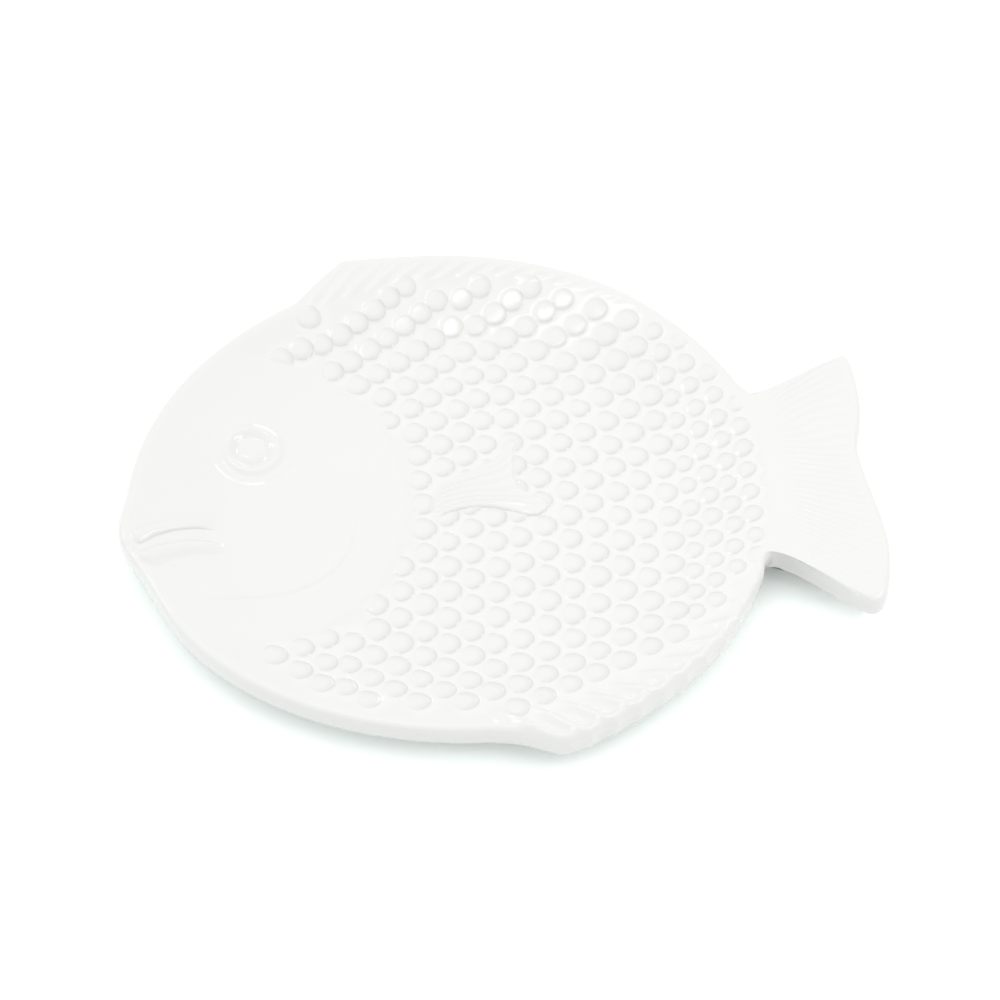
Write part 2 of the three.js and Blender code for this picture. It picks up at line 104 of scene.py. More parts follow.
class Part(Enum):
    """The parts that the skin is cut into: each piece's name and the frame's node that it stands for."""

    RIM = ("rim_and_underside", "plate_body")
    WELL_BACK = ("scaled_well_back", "plate_body")
    WELL_FRONT = ("scaled_well_front", "plate_body")
    FACE = ("smooth_face", "head")
    BACK_FIN = ("back_fin", "dorsal_fin")
    BELLY_FIN = ("belly_fin", "anal_fin")
    TAIL = ("forked_tail", "tail_fin")

    def __init__(self, piece: str, node: str) -> None:
        """Keeps the piece's name and node, and numbers the parts in order.

        Args:
            piece: The piece's name.
            node: The frame's node that it stands for.
        """
        self.piece = piece
        self.node = node
        self.number = len(type(self).__members__)


def ease(low: float | Array, high: float | Array, value: float | Array) -> Array:
    """A smooth step from 0 at one value to 1 at another.

    Args:
        low: Value where the step starts.
        high: Value where the step ends.
        value: Values to step.

    Returns:
        Shares from 0 to 1.
    """
    share = np.clip((np.asarray(value, float) - low) / (np.asarray(high, float) - low), 0.0, 1.0)
    return share * share * (3.0 - 2.0 * share)


def round_off(share: Array) -> Array:
    """Height of a quarter round of radius 1, at distances in from its edge."""
    return np.sqrt(1 - (1 - np.clip(share, 0, 1)) ** 2)


def curve_through(points: list[Spot], count: int, steps: int = 24) -> Array:
    """A smooth open curve through points, with its own points at equal distances.

    Args:
        points: Points that the curve passes through.
        count: Number of points on the curve.
        steps: Steps between two of the given points while the curve is measured.

    Returns:
        Points of the curve, one row each.
    """
    knots = np.array(points, float)
    knots = np.vstack([2 * knots[0] - knots[1], knots, 2 * knots[-1] - knots[-2]])
    share = np.linspace(0, 1, steps, endpoint=False)[:, None]
    fine = []
    for start in range(1, len(knots) - 2):
        before, here, there, after = knots[start - 1:start + 3]
        fine.append(0.5 * (2 * here + (there - before) * share
                           + (2 * before - 5 * here + 4 * there - after) * share ** 2
                           + (3 * here - before - 3 * there + after) * share ** 3))
    line = np.vstack(fine + [knots[-2:-1]])
    run = np.concatenate([[0], np.cumsum(np.hypot(*np.diff(line, axis=0).T))])
    at = np.linspace(0, run[-1], count)
    return np.column_stack([np.interp(at, run, line[:, 0]), np.interp(at, run, line[:, 1])])


class NodeKit:
    """Adds nodes to one tree and joins their sockets."""

    NODES_IN_ROW = 12
    NODE_SPACE = (180, -220)
    MIX_COLOURS = (6, 7)
    MIX_RESULT = 2

    def __init__(self, tree: Tree) -> None:
        """Keeps the tree that the nodes go into."""
        self.tree = tree

    def add(self, kind: str, **settings: object) -> Node:
        """Adds one node.

        Args:
            kind: The node's type name.
            settings: Properties to set on the node.

        Returns:
            The new node.
        """
        node = self.tree.nodes.new(kind)
        for name, value in settings.items():
            setattr(node, name, value)
        row, column = divmod(len(self.tree.nodes), self.NODES_IN_ROW)
        node.location = (self.NODE_SPACE[0] * column, self.NODE_SPACE[1] * row)
        return node

    def feed(self, target: Socket, value: object) -> None:
        """Joins a socket to an input, or sets the input to a plain value.

        Args:
            target: The input.
            value: A socket, a plain value, or None to leave the input as it is.
        """
        if isinstance(value, Socket):
            self.tree.links.new(value, target)
        elif value is not None:
            target.default_value = value

    def interface(self, side: Side, sockets: dict[str, str]) -> Node:
        """Names the tree's own inputs or outputs.

        Args:
            side: Which end of the tree they are on.
            sockets: The kind of each socket, by its name.

        Returns:
            The node of that end.
        """
        for name, kind in sockets.items():
            self.tree.interface.new_socket(name=name, in_out=side.name, socket_type="NodeSocket" + kind)
        return self.add(side.value)

    def math(self, operation: str, first: object, second: object = None, clamp: bool = False) -> Socket:
        """One step of arithmetic.

        Args:
            operation: The Math node's operation.
            first: First value or socket.
            second: Second value or socket.
            clamp: Whether the result stays between 0 and 1.

        Returns:
            The result's socket.
        """
        node = self.add("ShaderNodeMath", operation=operation, use_clamp=clamp)
        self.feed(node.inputs[0], first)
        self.feed(node.inputs[1], second)
        return node.outputs[0]

    def product(self, first: object, *others: object) -> Socket:
        """The product of values and sockets.

        Args:
            first: First factor.
            others: The other factors.

        Returns:
            The product's socket.
        """
        for other in others:
            first = self.math("MULTIPLY", first, other)
        return first

    def vector(self, operation: str, first: object, second: object) -> Node:
        """One step of vector arithmetic.

        Args:
            operation: The Vector Math node's operation.
            first: First vector or socket.
            second: Second vector or socket.

        Returns:
            The node, for its Vector or Value output.
        """
        node = self.add("ShaderNodeVectorMath", operation=operation)
        self.feed(node.inputs[0], first)
        self.feed(node.inputs[1], second)
        return node

    def parts(self, vector: Socket) -> list[Socket]:
        """The three parts of a vector.

        Args:
            vector: The vector's socket.

        Returns:
            Sockets of the parts.
        """
        node = self.add("ShaderNodeSeparateXYZ")
        self.feed(node.inputs[0], vector)
        return list(node.outputs)

    def ramp(
        self, value: object, low: object, high: object, start: object = 0.0, end: object = 1.0,
    ) -> Socket:
        """A smooth step of a value between two limits.

        Args:
            value: Value or socket to step.
            low: Where the step starts.
            high: Where the step ends.
            start: Result at the start.
            end: Result at the end.

        Returns:
            The result's socket.
        """
        node = self.add("ShaderNodeMapRange", interpolation_type="SMOOTHSTEP", clamp=True)
        names = ("Value", "From Min", "From Max", "To Min", "To Max")
        for name, given in zip(names, (value, low, high, start, end)):
            self.feed(node.inputs[name], given)
        return node.outputs["Result"]

    def ramp_over(self, value: Socket, length: Socket, shares: Spot, start: float = 0.0) -> Socket:
        """A smooth step to 1 between two shares of a length.

        Args:
            value: Socket to step.
            length: The length.
            shares: Where the step starts and ends.
            start: Result at the start.

        Returns:
            The result's socket.
        """
        low, high = [self.math("MULTIPLY", length, share) for share in shares]
        return self.ramp(value, low, high, start)

    def named(self, kind: str, mark: Enum) -> Socket:
        """What the geometry carries under a name.

        Args:
            kind: The kind of value.
            mark: Its name.

        Returns:
            The value's socket.
        """
        node = self.add("GeometryNodeInputNamedAttribute", data_type=kind)
        node.inputs["Name"].default_value = mark.value
        return node.outputs["Attribute"]

    def mix(self, factor: Socket, first: object, second: object) -> Socket:
        """A blend of two colours.

        Args:
            factor: Share of the second colour.
            first: First colour or socket.
            second: Second colour or socket.

        Returns:
            The colour's socket.
        """
        node = self.add("ShaderNodeMix", data_type="RGBA")
        self.feed(node.inputs["Factor"], factor)
        for at, colour in zip(self.MIX_COLOURS, (first, second)):
            self.feed(node.inputs[at], colour)
        return node.outputs[self.MIX_RESULT]

    def bump(self, height: Socket, strength: float, distance: float) -> Socket:
        """A normal that is bent by a fine relief.

        Args:
            height: Height of the relief.
            strength: How much of it shows.
            distance: Depth of the relief in metres.

        Returns:
            The normal's socket.
        """
        node = self.add("ShaderNodeBump")
        self.feed(node.inputs["Strength"], strength)
        self.feed(node.inputs["Distance"], distance)
        self.feed(node.inputs["Height"], height)
        return node.outputs["Normal"]


@dataclass(frozen=True)
class Oval:
    """The plate's oval and the shape of its well.

    Reaches run from the oval's centre, and an inset draws the oval in from its edge.
    """

    centre: Spot
    snout: float = 139.0
    tail: float = 117.5
    back: float = 121.2
    belly: float = 113.5
    bulge: float = 4.0
    bulge_below: float = 7.0
    bulge_half: float = 15.0
    jaw: float = 2.2
    jaw_below: float = 34.0
    jaw_half: float = 22.0
    foot_height: float = 5.0
    floor: float = 9.5
    depth: float = 10.5
    edge_bottom: float = 9.5
    edge_round: float = 3.0
    edge_flat: float = 2.0
    slope: float = 46.0
    fullness: float = 0.6
    crest_soft: float = 1.3
    foot_inset: float = 42.0
    farthest_out: float = 60.0
    least_reach: float = 0.01
    halvings: int = 26

    def reaches(self, across: Array, along: Array, inset: Array) -> tuple[Array, Array]:
        """Reaches of the drawn-in oval towards a direction.

        Args:
            across: Cosine of the direction's angle.
            along: Sine of the direction's angle.
            inset: Distance that the oval is drawn in.

        Returns:
            Reach along the fish and reach across it.
        """
        reach_y = np.where(along > 0, self.back, self.belly) - inset
        below = (reach_y * along + self.bulge_below) / self.bulge_half
        jaw = (reach_y * along + self.jaw_below) / self.jaw_half
        bulge = self.bulge * np.exp(-below ** 2) - self.jaw * np.exp(-jaw ** 2)
        bulge = bulge * np.clip(1 - inset / self.slope, 0, 1)
        reach_x = np.where(across >= 0, self.tail - inset, self.snout - inset + bulge)
        return reach_x, reach_y

    def point(self, angle: Array, inset: Array | float) -> Array:
        """Points of the drawn-in oval.

        Args:
            angle: Angles in radians.
            inset: Distance that the oval is drawn in.

        Returns:
            Points of the plan, one row each.
        """
        across, along = np.cos(angle), np.sin(angle)
        reach_x, reach_y = self.reaches(across, along, np.asarray(inset, float))
        return np.column_stack([self.centre[0] + reach_x * across, self.centre[1] + reach_y * along])

    def inset_at(self, x: Array, y: Array) -> Array:
        """Inset of the oval that passes through points of the plan, found by halving.

        Args:
            x: Places along the plate.
            y: Places across the plate.

        Returns:
            Insets, below 0 outside the plate's edge.
        """
        from_x, from_y = np.asarray(x, float) - self.centre[0], np.asarray(y, float) - self.centre[1]
        low = np.full(from_x.shape, -self.farthest_out)
        high = np.full(from_x.shape, min(self.snout, self.tail, self.back, self.belly) - self.least_reach)
        for _ in range(self.halvings):
            middle = (low + high) / 2
            along = from_y / (np.where(from_y > 0, self.back, self.belly) - middle)
            inside = (from_x / self.reaches(from_x, along, middle)[0]) ** 2 + along ** 2 < 1
            low = np.where(inside, middle, low)
            high = np.where(inside, high, middle)
        return low

    def angle_at(self, x: Array, y: Array) -> Array:
        """Angle round the oval at points of the plan.

        Args:
            x: Places along the plate.
            y: Places across the plate.

        Returns:
            Angles in degrees.
        """
        from_x, from_y = x - self.centre[0], y - self.centre[1]
        across = from_x / np.where(from_x > 0, self.tail, self.snout)
        along = from_y / np.where(from_y > 0, self.back, self.belly)
        return np.degrees(np.arctan2(along, across))

    def well(self, inset: Array) -> Array:
        """Height of the well's bare surface, with a softened crest along the rim.

        Args:
            inset: Insets of the oval.

        Returns:
            Heights in millimetres.
        """
        past = (np.asarray(inset, float) - self.edge_round) / self.crest_soft
        share = np.clip(self.crest_soft * np.logaddexp(0.0, past) / self.slope, 0, 1)
        return self.floor + self.depth * (1 - share) ** 2 * (1 + self.fullness * share)

    def underside(self, inset: Array) -> Array:
        """Height of the underside: flat over the foot, then rising to the edge.

        Args:
            inset: Insets of the oval.

        Returns:
            Heights in millimetres.
        """
        run = self.foot_inset - 2 * self.edge_flat
        share = np.clip((np.asarray(inset, float) - self.edge_flat) / run, 0, 1)
        return self.edge_bottom + (self.foot_height - self.edge_bottom) * share


@dataclass(frozen=True)
class FaceRelief:
    """The smooth raised face: its round gill edge, the fold of the cheek and the notch of the mouth."""

    centre: Spot = (-95.2, 8.1)
    length: float = 61.0
    half_depth: float = 70.0
    rise: float = 1.2
    rise_inset: Spot = (2.0, 30.0)
    edge_soft: float = 4.2
    cheek_centre: Spot = (-105.0, 2.0)
    cheek_length: float = 48.5
    cheek_half_depth: float = 41.5
    cheek_power: float = 2.5
    cheek_rise: float = 0.42
    cheek_soft: float = 0.9
    cheek_drop: float = 0.16
    cheek_fade: Spot = (12.0, -22.0)
    notch_level: float = -15.3
    notch_half_width: float = 2.2
    notch_reach: Spot = (-137.0, -144.0)
    notch_depth: float = 0.9

    def within(self, x: Array, y: Array) -> Array:
        """How far points lie inside the gill edge.

        Args:
            x: Places along the plate.
            y: Places across the plate.

        Returns:
            Distances, below 0 outside the edge.
        """
        forward = np.maximum(x - self.centre[0], 0) / self.length
        aside = (y - self.centre[1]) / self.half_depth
        reach = np.sqrt(forward ** 2 + aside ** 2)
        return (1 - reach) * (self.length + self.half_depth) / 2

    def fold(self, x: Array, y: Array) -> Array:
        """Share of the cheek's rise at points of the plan.

        Args:
            x: Places along the plate.
            y: Places across the plate.

        Returns:
            Shares from 0 to 1.
        """
        forward = np.maximum(x - self.cheek_centre[0], 0) / self.cheek_length
        level = self.cheek_centre[1] - self.cheek_drop * np.maximum(self.cheek_centre[0] - x, 0)
        below = np.maximum(level - y, 0) / self.cheek_half_depth
        reach = (forward ** self.cheek_power + below ** self.cheek_power) ** (1 / self.cheek_power)
        inside = (1 - reach) * self.cheek_half_depth
        return ease(-self.cheek_soft, self.cheek_soft, inside) * ease(*self.cheek_fade, y)

    def height(self, x: Array, y: Array, inset: Array) -> Array:
        """Height of the face above the bare well.

        Args:
            x: Places along the plate.
            y: Places across the plate.
            inset: The oval's inset at those places.

        Returns:
            Heights in millimetres.
        """
        gill = ease(-self.edge_soft, self.edge_soft, self.within(x, y))
        notch = np.exp(-((y - self.notch_level) / self.notch_half_width) ** 2) * ease(*self.notch_reach, x)
        rise = self.rise + self.cheek_rise * self.fold(x, y)
        return rise * gill * ease(*self.rise_inset, inset) - self.notch_depth * notch


@dataclass(frozen=True)
class EdgeFin:
    """A ribbed fin along the plate's edge, with a pointed front corner.

    Angles are in degrees round the oval, from the front of the fin to its end.
    """

    start: float
    corner: float
    end: float
    height: float
    fade: float
    front_sweep: float
    corner_soft: float
    rib_pitch: float
    rib_lean: float
    rib_rise: float
    rib_inner: float
    rib_soft: float
    scallop: float = 0.0
    lip: float = 0.0
    scallop_reach: Spot = (-2.5, 1.5)
    lip_reach: Spot = (0.5, 4.0)
    lip_inset: float = 3.6
    lip_half_width: float = 1.4
    front_most: float = 3.0
    end_soft: float = 14.0
    rib_fade: float = 7.0
    rib_start: Spot = (-0.5, 3.5)
    rib_end_soft: float = 10.0
    rib_front: float = 0.75
    rib_end_share: float = 0.35

    def way(self) -> float:
        """1 where the angles grow from the front of the fin to its end, and -1 where they shrink."""
        return float(np.sign(self.end - self.start))

    def reach(self, angle: Array) -> Array:
        """How far the fin stands out beyond the oval.

        Args:
            angle: Angles in degrees.

        Returns:
            Distances, 0 outside the fin.
        """
        front = (self.start - angle) / (self.start - self.corner)
        front = np.clip(front, 0, self.front_most) ** self.front_sweep
        past = (angle - self.corner) * self.way()
        falling = np.exp(-np.clip(past, -self.fade, None) / self.fade)
        body = -self.corner_soft * np.logaddexp(-front / self.corner_soft, -falling / self.corner_soft)
        body = np.maximum(body, 0) * ease(0.0, self.end_soft, np.abs(self.end - angle))
        inside = ((angle - self.start) * self.way() >= 0) & ((self.end - angle) * self.way() >= 0)
        return np.where(inside, self.height * body, 0.0)

    def rib_place(self, angle: Array, out: Array, radius: float) -> Array:
        """Place of points across the ribs.

        Args:
            angle: Angles in degrees.
            out: Distances out from the oval.
            radius: The oval's radius there.

        Returns:
            Places, where whole numbers are the grooves.
        """
        run = np.radians(angle - self.corner) * self.way() * radius
        return (run - self.rib_lean * out) / self.rib_pitch

    def rib_strength(self, angle: Array, inset: Array) -> Array:
        """Share of the ribs' full rise.

        Args:
            angle: Angles in degrees.
            inset: Insets of the oval.

        Returns:
            Shares from 0 to 1, less towards the fin's end.
        """
        past, left = (angle - self.start) * self.way(), (self.end - angle) * self.way()
        along = ease(*self.rib_start, past) * ease(0.0, self.rib_end_soft, left)
        across = ease(self.rib_inner, self.rib_inner - self.rib_fade, inset)
        ahead = ease(0.0, self.rib_front * abs(self.end - self.start), left)
        return along * across * (self.rib_end_share + (1 - self.rib_end_share) * ahead)

    def lip_height(self, angle: Array, to_edge: Array) -> Array:
        """Height of the rolled lip along the fin's edge."""
        across = np.exp(-((to_edge - self.lip_inset) / self.lip_half_width) ** 2)
        return self.lip * across * ease(*self.lip_reach, self.reach(angle))


BACK_FIN = EdgeFin(
    start=118.5, corner=107.3, end=44.0, height=12.6, fade=19.0, front_sweep=1.1, corner_soft=0.03,
    rib_pitch=9.0, rib_lean=1.2, rib_rise=1.15, rib_inner=8.5, rib_soft=0.12,
)
BELLY_FIN = EdgeFin(
    start=-93.0, corner=-80.5, end=-29.0, height=10.6, fade=23.0, front_sweep=1.5, corner_soft=0.1,
    rib_pitch=12.1, rib_lean=0.95, rib_rise=-2.3, rib_inner=12.0, rib_soft=0.03, scallop=-0.7, lip=0.9,
)


@dataclass(frozen=True)
class TailFin:
    """The flat forked tail with its fan of rays.

    The fan's lower edge and breadth are given at the root and by how much they grow along the tail.
    """

    outline: tuple[Spot, ...] = (
        (97.4, -50.3), (99.6, -47.0), (102.6, -44.0), (106.4, -43.4), (110.2, -45.4), (117.0, -52.3),
        (126.0, -62.0), (133.0, -69.2), (137.6, -72.0), (141.8, -70.6), (144.4, -66.0), (146.8, -57.0),
        (148.3, -46.0), (148.1, -35.0), (146.8, -22.5), (145.2, -10.5), (144.2, -0.5), (144.8, 5.5),
        (146.8, 13.0), (148.8, 22.0), (149.7, 31.5), (149.6, 41.0), (148.8, 49.0), (146.6, 52.4),
        (142.4, 51.2), (133.6, 47.2), (123.8, 42.0), (116.0, 37.2), (110.4, 35.0), (106.4, 36.8),
        (103.6, 40.2), (101.8, 43.4),
    )
    low_angle: float = -26.0
    high_angle: float = 22.3
    root: float = 109.0
    length: float = 38.0
    fan_lower: Spot = (41.0, 33.0)
    fan_breadth: Spot = (78.0, 49.0)
    half_breadth: float = 80.0
    rays: int = 33
    ray_rise: float = 0.4
    ray_start: Spot = (-0.02, 0.3)
    ray_overlap: float = 4.0
    ray_fade: Spot = (-160.0, 40.0)
    upper_bend: float = 12.0
    upper_full: float = 40.0
    ray_wave: float = 0.5
    wave_along: float = 7.0
    wave_across: float = 0.19

    def ray_share(self, x: Array, y: Array) -> tuple[Array, Array]:
        """Where points lie in the fan of rays.

        Args:
            x: Places along the plate.
            y: Places across the plate.

        Returns:
            Share across the fan, from the lower edge up, and share along it, from the root.
        """
        along = (x - self.root) / self.length
        run = np.clip(along, 0, 1)
        bend = self.upper_bend * run * (2 - run) * ease(0.0, self.upper_full, y)
        bend = bend + self.ray_wave * np.sin(self.wave_along * along + self.wave_across * y)
        above = y - bend + self.fan_lower[0] + self.fan_lower[1] * along
        return above / (self.fan_breadth[0] + self.fan_breadth[1] * along), along

    def ray_strength(self, x: Array, y: Array) -> Array:
        """Share of the rays' full rise, which is less on the lower lobe.

        Args:
            x: Places along the plate.
            y: Places across the plate.

        Returns:
            Shares from 0 to 1.
        """
        on_tail = (x > self.root - self.ray_overlap) & (np.abs(y) < self.half_breadth)
        return ease(*self.ray_start, (x - self.root) / self.length) * on_tail * ease(*self.ray_fade, y)


@dataclass(frozen=True)
class SideFinPlan:
    """The four sides of the forked side fin in plan."""

    root: tuple[Spot, ...] = ((-25.4, -7.0), (-26.0, 1.5), (-22.6, 11.0))
    lower: tuple[Spot, ...] = (
        (-25.4, -7.0), (-20.0, -4.4), (-12.0, -2.8), (-3.0, -3.4), (5.0, -6.2), (11.0, -8.8), (15.5, -9.2),
    )
    upper: tuple[Spot, ...] = ((-22.6, 11.0), (-14.0, 14.6), (-4.0, 19.0), (2.0, 23.0), (7.4, 30.2))
    outer: tuple[Spot, ...] = (
        (15.5, -9.2), (19.2, -6.0), (18.6, -2.6), (13.4, 1.6), (9.8, 7.2), (8.6, 14.0), (9.4, 22.0),
        (10.0, 28.4), (7.4, 30.2),
    )
    side_points: int = 60

    def within(self, x: Array, y: Array) -> Array:
        """How far points of the plan lie inside the fin's outline.

        Args:
            x: Places along the plate.
            y: Places across the plate.

        Returns:
            Distances, below 0 outside the outline.
        """
        sides = (self.lower, self.outer, self.upper[::-1], self.root[::-1])
        loop = np.vstack([curve_through(list(side), self.side_points) for side in sides])
        inside = np.zeros(x.shape, bool)
        away = np.full(x.shape, np.inf)
        for (x0, y0), (x1, y1) in zip(loop, np.roll(loop, -1, 0)):
            away = np.minimum(away, np.hypot(x - x0, y - y0))
            if y0 != y1:
                crossed = (y0 > y) != (y1 > y)
                inside ^= crossed & (x < x0 + (x1 - x0) * (y - y0) / (y1 - y0))
        return np.where(inside, away, -away)


@dataclass(frozen=True)
class Pad:
    """One raised scale: its middle, the way its high end points, its size and the slopes it leans by."""

    x: float
    y: float
    heading: float
    length: float
    width: float
    rise: float
    lean: Spot


@dataclass(frozen=True)
class PadShape:
    """How a scale is formed and glazed, in shares of its own length, reach and rise.

    Its rear edge is soft and turns crisp along the rear stretch. Ahead of it the web is painted lighter, a
    painted highlight, and towards its front edge it is painted darker, a painted shade; partly these stand
    for glaze that pools and wears thin there.
    """

    rear: Spot = (-0.42, 0.08)
    rear_softness: float = 5.0
    tilt: float = 0.86
    middle: float = 0.57
    dome: float = 0.24
    ahead: Spot = (-0.3, 0.1)
    painted_highlight_reach: Spot = (-0.4, -0.03)
    painted_shading_from: float = 0.3
    painted_shading: float = 0.45
    overlap: float = 0.4


@dataclass(frozen=True)
class ScaleBand:
    """A band of scale columns that are evenly apart and staggered.

    Its first column's distance from the snout, how many columns there are and how far apart, one scale's
    place above the axis in that column, the stagger from each column to the next, and the pitch and
    relative size of its scales.
    """

    from_snout: float
    columns: int
    apart: float
    first: float
    stagger: float
    pitch: float
    size: float = 1.0


@dataclass(frozen=True)
class ScaleField:
    """The hand-pressed scales: columns that bend towards the snout above and below, and their sizes."""

    bands: tuple[ScaleBand, ...] = (
        ScaleBand(from_snout=44.6, columns=5, apart=9.4, first=7.6, stagger=4.4, pitch=12.0),
        ScaleBand(from_snout=91.6, columns=7, apart=9.3, first=0.7, stagger=5.1, pitch=12.3),
        ScaleBand(from_snout=157.2, columns=7, apart=9.9, first=-4.7, stagger=4.7, pitch=12.15),
        ScaleBand(from_snout=224.8, columns=5, apart=8.0, first=0.7, stagger=3.8, pitch=10.9, size=0.84),
    )
    shape: PadShape = PadShape()
    length: float = 13.4
    width: float = 11.5
    rise: float = 1.05
    edge_soft: float = 1.3
    tilt: float = -8.0
    bend_above: float = 22.0
    bend_back: float = 0.000022
    bend_belly: float = 0.00078
    gap_tail: float = 3.0
    gap_back: float = 7.5
    gap_belly: float = 11.0
    gap_turn: Spot = (0.25, 0.75)
    gill_gap: float = 1.2
    rim_fade: float = 9.0
    rim_share: float = 0.4
    face_soft: Spot = (0.8, -1.6)
    rim_soft: Spot = (3.0, 6.5)
    fin_soft: Spot = (1.2, -1.2)
    stray: float = 0.45
    stray_turn: float = 6.0
    stray_size: float = 0.05
    stray_rise: float = 0.1
    stray_lean: float = 0.03
    seed: int = 23

    def pads(self, oval: Oval, face: FaceRelief) -> list[Pad]:
        """Lays out the scales between the gill, the fins and the rim.

        Args:
            oval: The plate's oval.
            face: The face, which stays smooth.

        Returns:
            The scales, band by band and column by column.
        """
        chance = random.Random(self.seed)
        found = []
        for band in self.bands:
            for column in range(band.columns):
                from_snout = band.from_snout + band.apart * column
                first = band.first + band.stagger * column
                lowest = first - band.pitch * math.floor((oval.belly + first) / band.pitch)
                for step in range(math.ceil((oval.back - lowest) / band.pitch)):
                    pad = self.pad(oval, from_snout, lowest + band.pitch * step, band.size, chance)
                    if self.fits(pad, oval, face):
                        found.append(pad)
        return found

    def pad(
        self, oval: Oval, from_snout: float, above_axis: float, size: float, chance: random.Random,
    ) -> Pad:
        """One scale of a column, pressed a little askew.

        Args:
            oval: The plate's oval.
            from_snout: The column's distance from the snout.
            above_axis: The scale's place above the fish's axis.
            size: The scale's relative size.
            chance: Source of the small strays.

        Returns:
            The scale.
        """
        def astray(most: float) -> float:
            """A small stray to either side."""
            return chance.uniform(-most, most)

        above = above_axis - self.bend_above
        bend = self.bend_back * above ** 3 if above > 0 else self.bend_belly * above ** 2
        slope = 3 * self.bend_back * above ** 2 if above > 0 else 2 * self.bend_belly * above
        x = oval.centre[0] - oval.snout - oval.bulge + from_snout - bend + astray(self.stray)
        y = oval.centre[1] + above_axis + astray(self.stray)
        heading = math.radians(self.tilt + astray(self.stray_turn)) - math.atan(slope)
        grow = size * (1 + astray(self.stray_size))
        inset = float(oval.inset_at(np.array([x]), np.array([y]))[0])
        inwards = float(ease(0.0, self.rim_fade, inset - self.rim_gap(oval, x, y)))
        fade = self.rim_share + (1 - self.rim_share) * inwards
        rise = self.rise * fade * (1 + astray(self.stray_rise))
        lean = (astray(self.stray_lean), astray(self.stray_lean))
        return Pad(x, y, heading, self.length * grow, self.width * grow, rise, lean)

    def fits(self, pad: Pad, oval: Oval, face: FaceRelief) -> bool:
        """Whether a scale lies clear of the rim and of the gill edge.

        Args:
            pad: The scale.
            oval: The plate's oval.
            face: The face.

        Returns:
            True where it does.
        """
        inset = float(oval.inset_at(np.array([pad.x]), np.array([pad.y]))[0])
        on_face = float(face.within(np.array(pad.x), np.array(pad.y))) > -self.gill_gap
        return inset > self.rim_gap(oval, pad.x, pad.y) and not on_face

    def rim_gap(self, oval: Oval, x: float, y: float) -> float:
        """Least inset of a scale's middle: little at the tail, more at the back and belly.

        Args:
            oval: The plate's oval.
            x: The scale's place along the plate.
            y: The scale's place across the plate.

        Returns:
            The inset in millimetres.
        """
        from_x, from_y = x - oval.centre[0], y - oval.centre[1]
        aside = 1.0 if from_x < 0 else abs(from_y) / math.hypot(from_x, from_y)
        side = self.gap_back if from_y > 0 else self.gap_belly
        return self.gap_tail + (side - self.gap_tail) * float(ease(*self.gap_turn, aside))


class NearestScale:
    """Reads what the scale nearest to a place carries."""

    def __init__(self, kit: NodeKit, scales: Socket, look_at: Socket) -> None:
        """Finds the scale.

        Args:
            kit: The tree's kit.
            scales: The scales' points.
            look_at: The place.
        """
        self.kit = kit
        self.scales = scales
        nearest = kit.add("GeometryNodeSampleNearest", domain="POINT")
        kit.feed(nearest.inputs["Geometry"], scales)
        kit.feed(nearest.inputs["Sample Position"], look_at)
        self.index = nearest.outputs["Index"]

    def read(self, value: Socket) -> Socket:
        """A vector of the scale.

        Args:
            value: The vector as a field.

        Returns:
            Its socket.
        """
        node = self.kit.add("GeometryNodeSampleIndex", data_type="FLOAT_VECTOR", domain="POINT")
        for name, given in (("Geometry", self.scales), ("Value", value), ("Index", self.index)):
            self.kit.feed(node.inputs[name], given)
        return node.outputs["Value"]

    def named(self, mark: ScaleMark) -> Socket:
        """A vector that the scale carries under a name."""
        return self.read(self.kit.named("FLOAT_VECTOR", mark))


